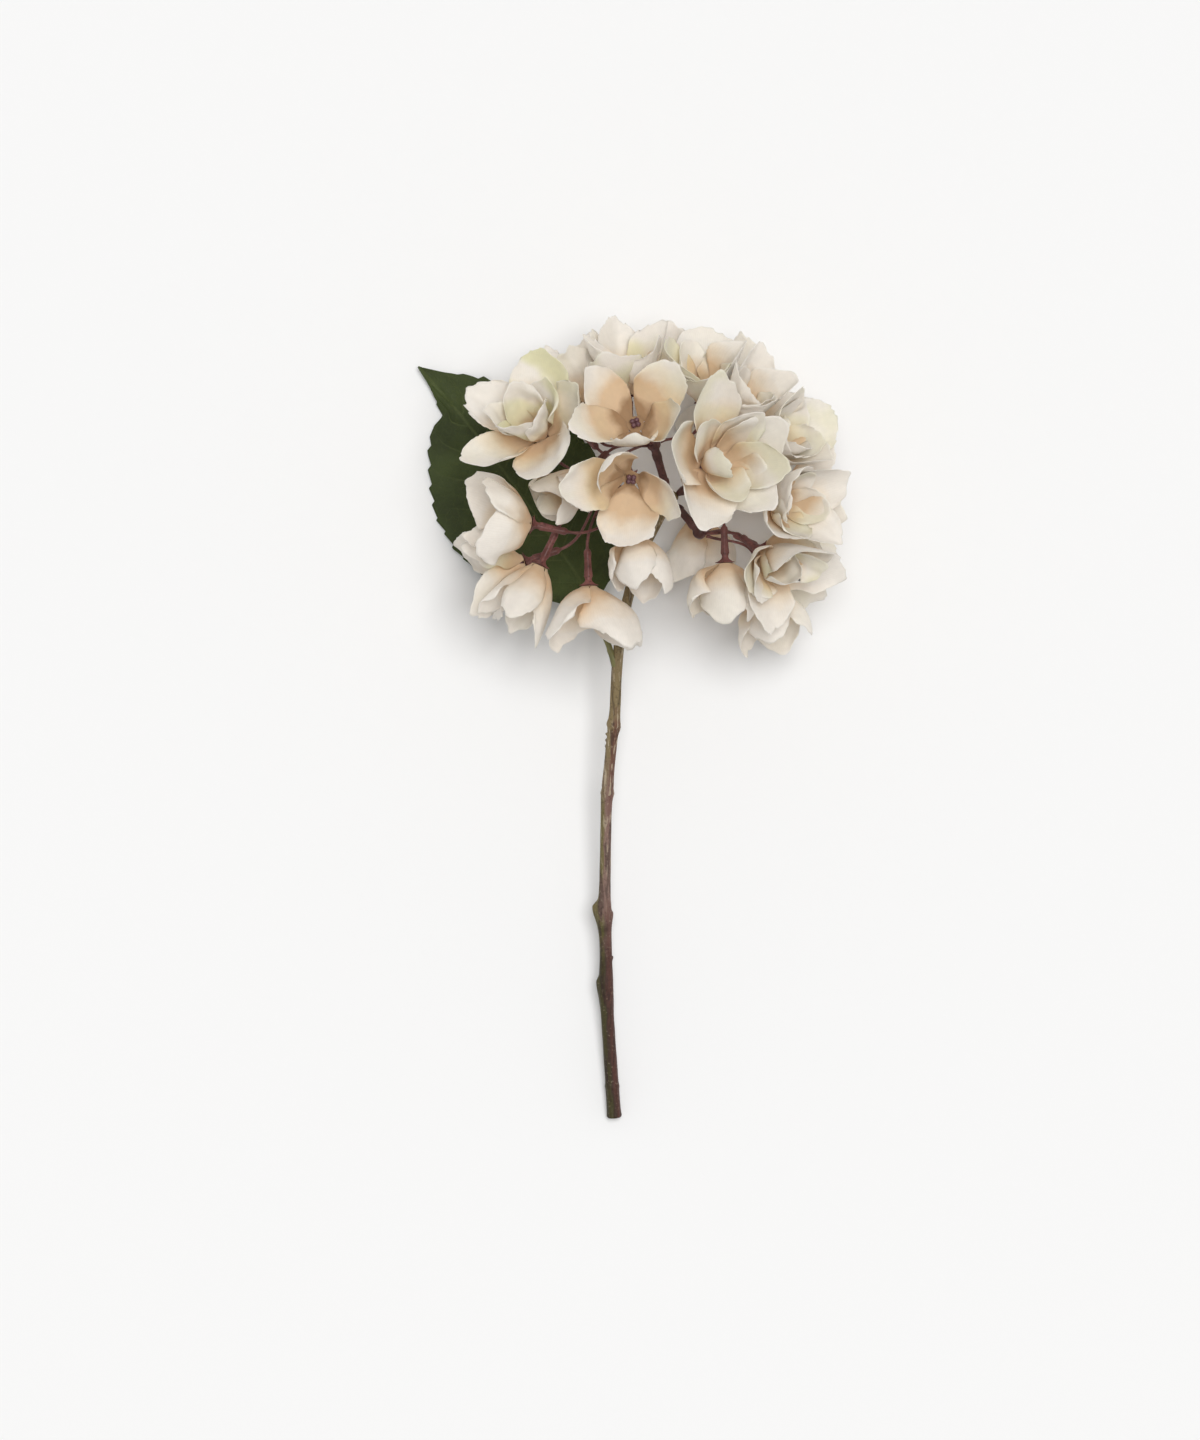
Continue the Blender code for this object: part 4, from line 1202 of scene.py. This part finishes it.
def stem_material(name, settings):
    """Coated stem: olive by the head, greyish in the middle, where a painted highlight lies over its own
    tone, and dark by the cut end, greener on its left and redder on its right, with long streaks,
    specks and fibres."""
    m = Shading(name)
    source = m.add("ShaderNodeTexCoord", {}).outputs["Object"]
    height = m.add("ShaderNodeSeparateXYZ", {0: source}).outputs[1]
    streaks = m.noise(m.places((1.0, 0.05, 1.0)), 1100.0, 4.0)
    broad = m.noise(m.places((1.0, 0.02, 1.0)), 420.0)
    cloud, specks = m.noise(source, 75.0, 4.0), m.noise(source, 900.0)
    run = m.plus(height, m.times(m.minus(cloud, 0.5), 0.050))
    side = m.plus(m.point_value("right"), m.times(m.minus(broad, 0.5), 3.0))
    # Brown by the cut end, then the middle colour, paler because a highlight is painted on the coat's own
    # tone, then olive by the head
    tone = m.blend(m.between(run, -0.106, -0.078), settings.brown, settings.middle)
    tone = m.blend(m.between(run, -0.040, -0.010), tone, settings.olive)
    low = m.times(m.between(run, 0.006, -0.006), m.between(run, -0.060, -0.030))
    lowest = m.times(m.between(run, -0.076, -0.092), 0.62)
    red = m.times(m.between(side, -0.3, 0.5), m.maths("MAXIMUM", low, lowest))
    green = m.times(m.between(side, 0.0, -0.6), m.between(run, -0.020, -0.040))
    leafy = m.blend(m.between(run, -0.090, -0.110), settings.green, scaled(settings.green, 0.45))
    pale = m.times(m.between(streaks, 0.56, 0.66), m.between(run, -0.115, 0.0))
    layers = [
        (red, 0.80, settings.red),
        (green, 0.75, leafy),
        (m.between(broad, 0.54, 0.62), 0.55, FIBRE_DARK),
        (pale, 0.85, settings.streak),
        (m.between(specks, 0.62, 0.70), 0.24, settings.streak),
        (m.between(specks, 0.43, 0.34), 0.40, FIBRE_DARK),
    ]
    for mask, share, colour in layers:
        tone = m.blend(m.times(mask, share), tone, colour)
    relief = m.plus(m.plus(streaks, m.times(specks, 0.8)), m.times(broad, -1.2))
    m.bump(relief, 0.9, 0.45)
    return m.finish(tone, m.line(broad, 0.28, 0.42), 0.28)


def leaf_material(name, settings, is_back):
    """Leaf cloth: dark green with paler veins, a net of fine veins and a weave; the back is paler."""
    m = Shading(name)
    vein, place = m.point_value("vein"), m.places()
    cloud, fine = m.noise(place, 45.0), m.noise(place, 500.0, 4.0)
    cells = {"Vector": place, "Scale": 330.0}
    edge = m.add("ShaderNodeTexVoronoi", cells, feature="DISTANCE_TO_EDGE").outputs[0]
    net = m.minus(1.0, m.between(edge, 0.0, 0.09))
    tone = m.blend(m.between(cloud, 0.30, 0.75), settings.dark, scaled(settings.dark, 1.9))
    tone = m.blend(m.times(m.between(vein, 0.25, 0.95), 0.75), tone, settings.light)
    tone = m.blend(m.times(net, 0.16), tone, settings.light)
    if is_back:
        tone = m.blend(0.45, tone, (0.10, 0.14, 0.07, 1.0))
    height = m.plus(m.times(m.weave(0.40), 0.03), m.times(net, -0.16))
    height = m.plus(height, m.times(fine, 0.2))
    m.bump(m.minus(height, m.times(vein, -0.35 if is_back else 0.35)), 0.6, 0.8)
    return m.finish(tone, m.line(fine, 0.22, 0.46), 0.22)


def petiole_material(name, settings):
    """Petiole: yellow-green with long darker streaks."""
    m = Shading(name)
    streaks = m.noise(m.places((1.0, 0.12, 1.0)), 600.0)
    tone = m.blend(m.between(streaks, 0.4, 0.7), settings.petiole, (0.095, 0.095, 0.032, 1.0))
    m.bump(streaks, 0.6, 0.2)
    return m.finish(tone, 0.5)


def floor_material(name, settings):
    """Pale matt floor with a faint unevenness."""
    m = Shading(name)
    cloud = m.noise(m.places(), 3.0, 2.0)
    tone = m.blend(m.times(cloud, 0.06), settings.floor, (0.80, 0.80, 0.80, 1.0))
    return m.finish(tone, 0.85, 0.2)


class OBJECT_OT_stage(bpy.types.Operator):
    """Makes the floor, the lights and the camera over the flower"""

    bl_idname = "object.hydrangea_stage"
    bl_label = "Stage"

    def execute(self, context):
        settings = context.scene.hydrangea_stage
        mesh = bpy.data.meshes.new("floor")
        corners = [(x * FLOOR_REACH, y * FLOOR_REACH, 0) for x, y in ((-1, -1), (1, -1), (1, 1), (-1, 1))]
        mesh.from_pydata(corners, [], [(0, 1, 2, 3)])
        mesh.materials.append(floor_material("floor", settings))
        floor = bpy.data.objects.new("floor", mesh)
        context.scene.collection.objects.link(floor)
        add_light("key", settings.key)
        context.scene.world = studio_world(settings)
        context.scene.view_settings.view_transform = "Standard"
        add_camera(context)
        return {"FINISHED"}


def studio_world(settings):
    """A soft dome of light, brighter round the horizon than overhead."""
    world = bpy.data.worlds.new("studio")
    world.use_nodes = True
    nodes, links = world.node_tree.nodes, world.node_tree.links
    split = nodes.new("ShaderNodeSeparateXYZ")
    links.new(nodes.new("ShaderNodeTexCoord").outputs["Generated"], split.inputs[0])
    fade = nodes.new("ShaderNodeMapRange")
    fade.interpolation_type = "SMOOTHSTEP"
    links.new(split.outputs[2], fade.inputs[0])
    for socket, value in zip(fade.inputs[1:5], (0.0, DOME_FADE, settings.horizon, settings.sky)):
        socket.default_value = value
    nodes["Background"].inputs[0].default_value = DOME_COLOUR
    links.new(fade.outputs[0], nodes["Background"].inputs[1])
    return world


def add_light(name, strength):
    """A broad far light, a little off the vertical so that little shadow shows beside the flower."""
    data = bpy.data.lights.new(name, "SUN")
    data.energy = strength
    data.angle = KEY_SPREAD
    light = bpy.data.objects.new(name, data)
    light.rotation_euler = KEY_TILT
    bpy.context.scene.collection.objects.link(light)


def add_camera(context):
    """A long lens straight above the flower, which looks down with the head at the top."""
    data = bpy.data.cameras.new("camera")
    data.sensor_width = SENSOR_WIDTH
    data.lens = SENSOR_WIDTH * CAMERA_PLACE[2] / FRAME_HEIGHT
    data.clip_start = CLIP_START
    camera = bpy.data.objects.new("camera", data)
    camera.location = CAMERA_PLACE
    context.scene.collection.objects.link(camera)
    context.scene.camera = camera


class VIEW3D_PT_hydrangea(bpy.types.Panel):
    """Lists the steps that make the flower"""

    bl_label = "Cut hydrangea"
    bl_space_type = "VIEW_3D"
    bl_region_type = "UI"
    bl_category = "Hydrangea"

    def draw(self, context):
        for name, group, operators in STEPS:
            for key in group.__annotations__:
                self.layout.prop(getattr(context.scene, name), key)
            for operator in operators:
                self.layout.operator(operator.bl_idname)


STEPS = [
    ("hydrangea_petals", PetalSettings, [OBJECT_OT_florets]),
    ("hydrangea_stalks", StalkSettings, [OBJECT_OT_stalks, OBJECT_OT_branches]),
    ("hydrangea_stem", StemSettings, [OBJECT_OT_stem]),
    ("hydrangea_leaf", LeafSettings, [OBJECT_OT_leaf, OBJECT_OT_petiole]),
    ("hydrangea_stage", StageSettings, [OBJECT_OT_stage]),
]
GROUPS = [group for _, group, _ in STEPS]
OPERATORS = [operator for _, _, operators in STEPS for operator in operators]
CLASSES = [*GROUPS, *OPERATORS, VIEW3D_PT_hydrangea]


def register():
    """Registers the classes and gives the scene its settings."""
    for kind in CLASSES:
        bpy.utils.register_class(kind)
    for name, group, _ in STEPS:
        setattr(bpy.types.Scene, name, PointerProperty(type=group))


def unregister():
    """Takes the settings and classes away again."""
    for name, _, _ in STEPS:
        delattr(bpy.types.Scene, name)
    for kind in reversed(CLASSES):
        bpy.utils.unregister_class(kind)


def main():
    register()
    for operator in OPERATORS:
        getattr(bpy.ops.object, operator.bl_idname.split(".")[1])()


if __name__ == "__main__":
    main()
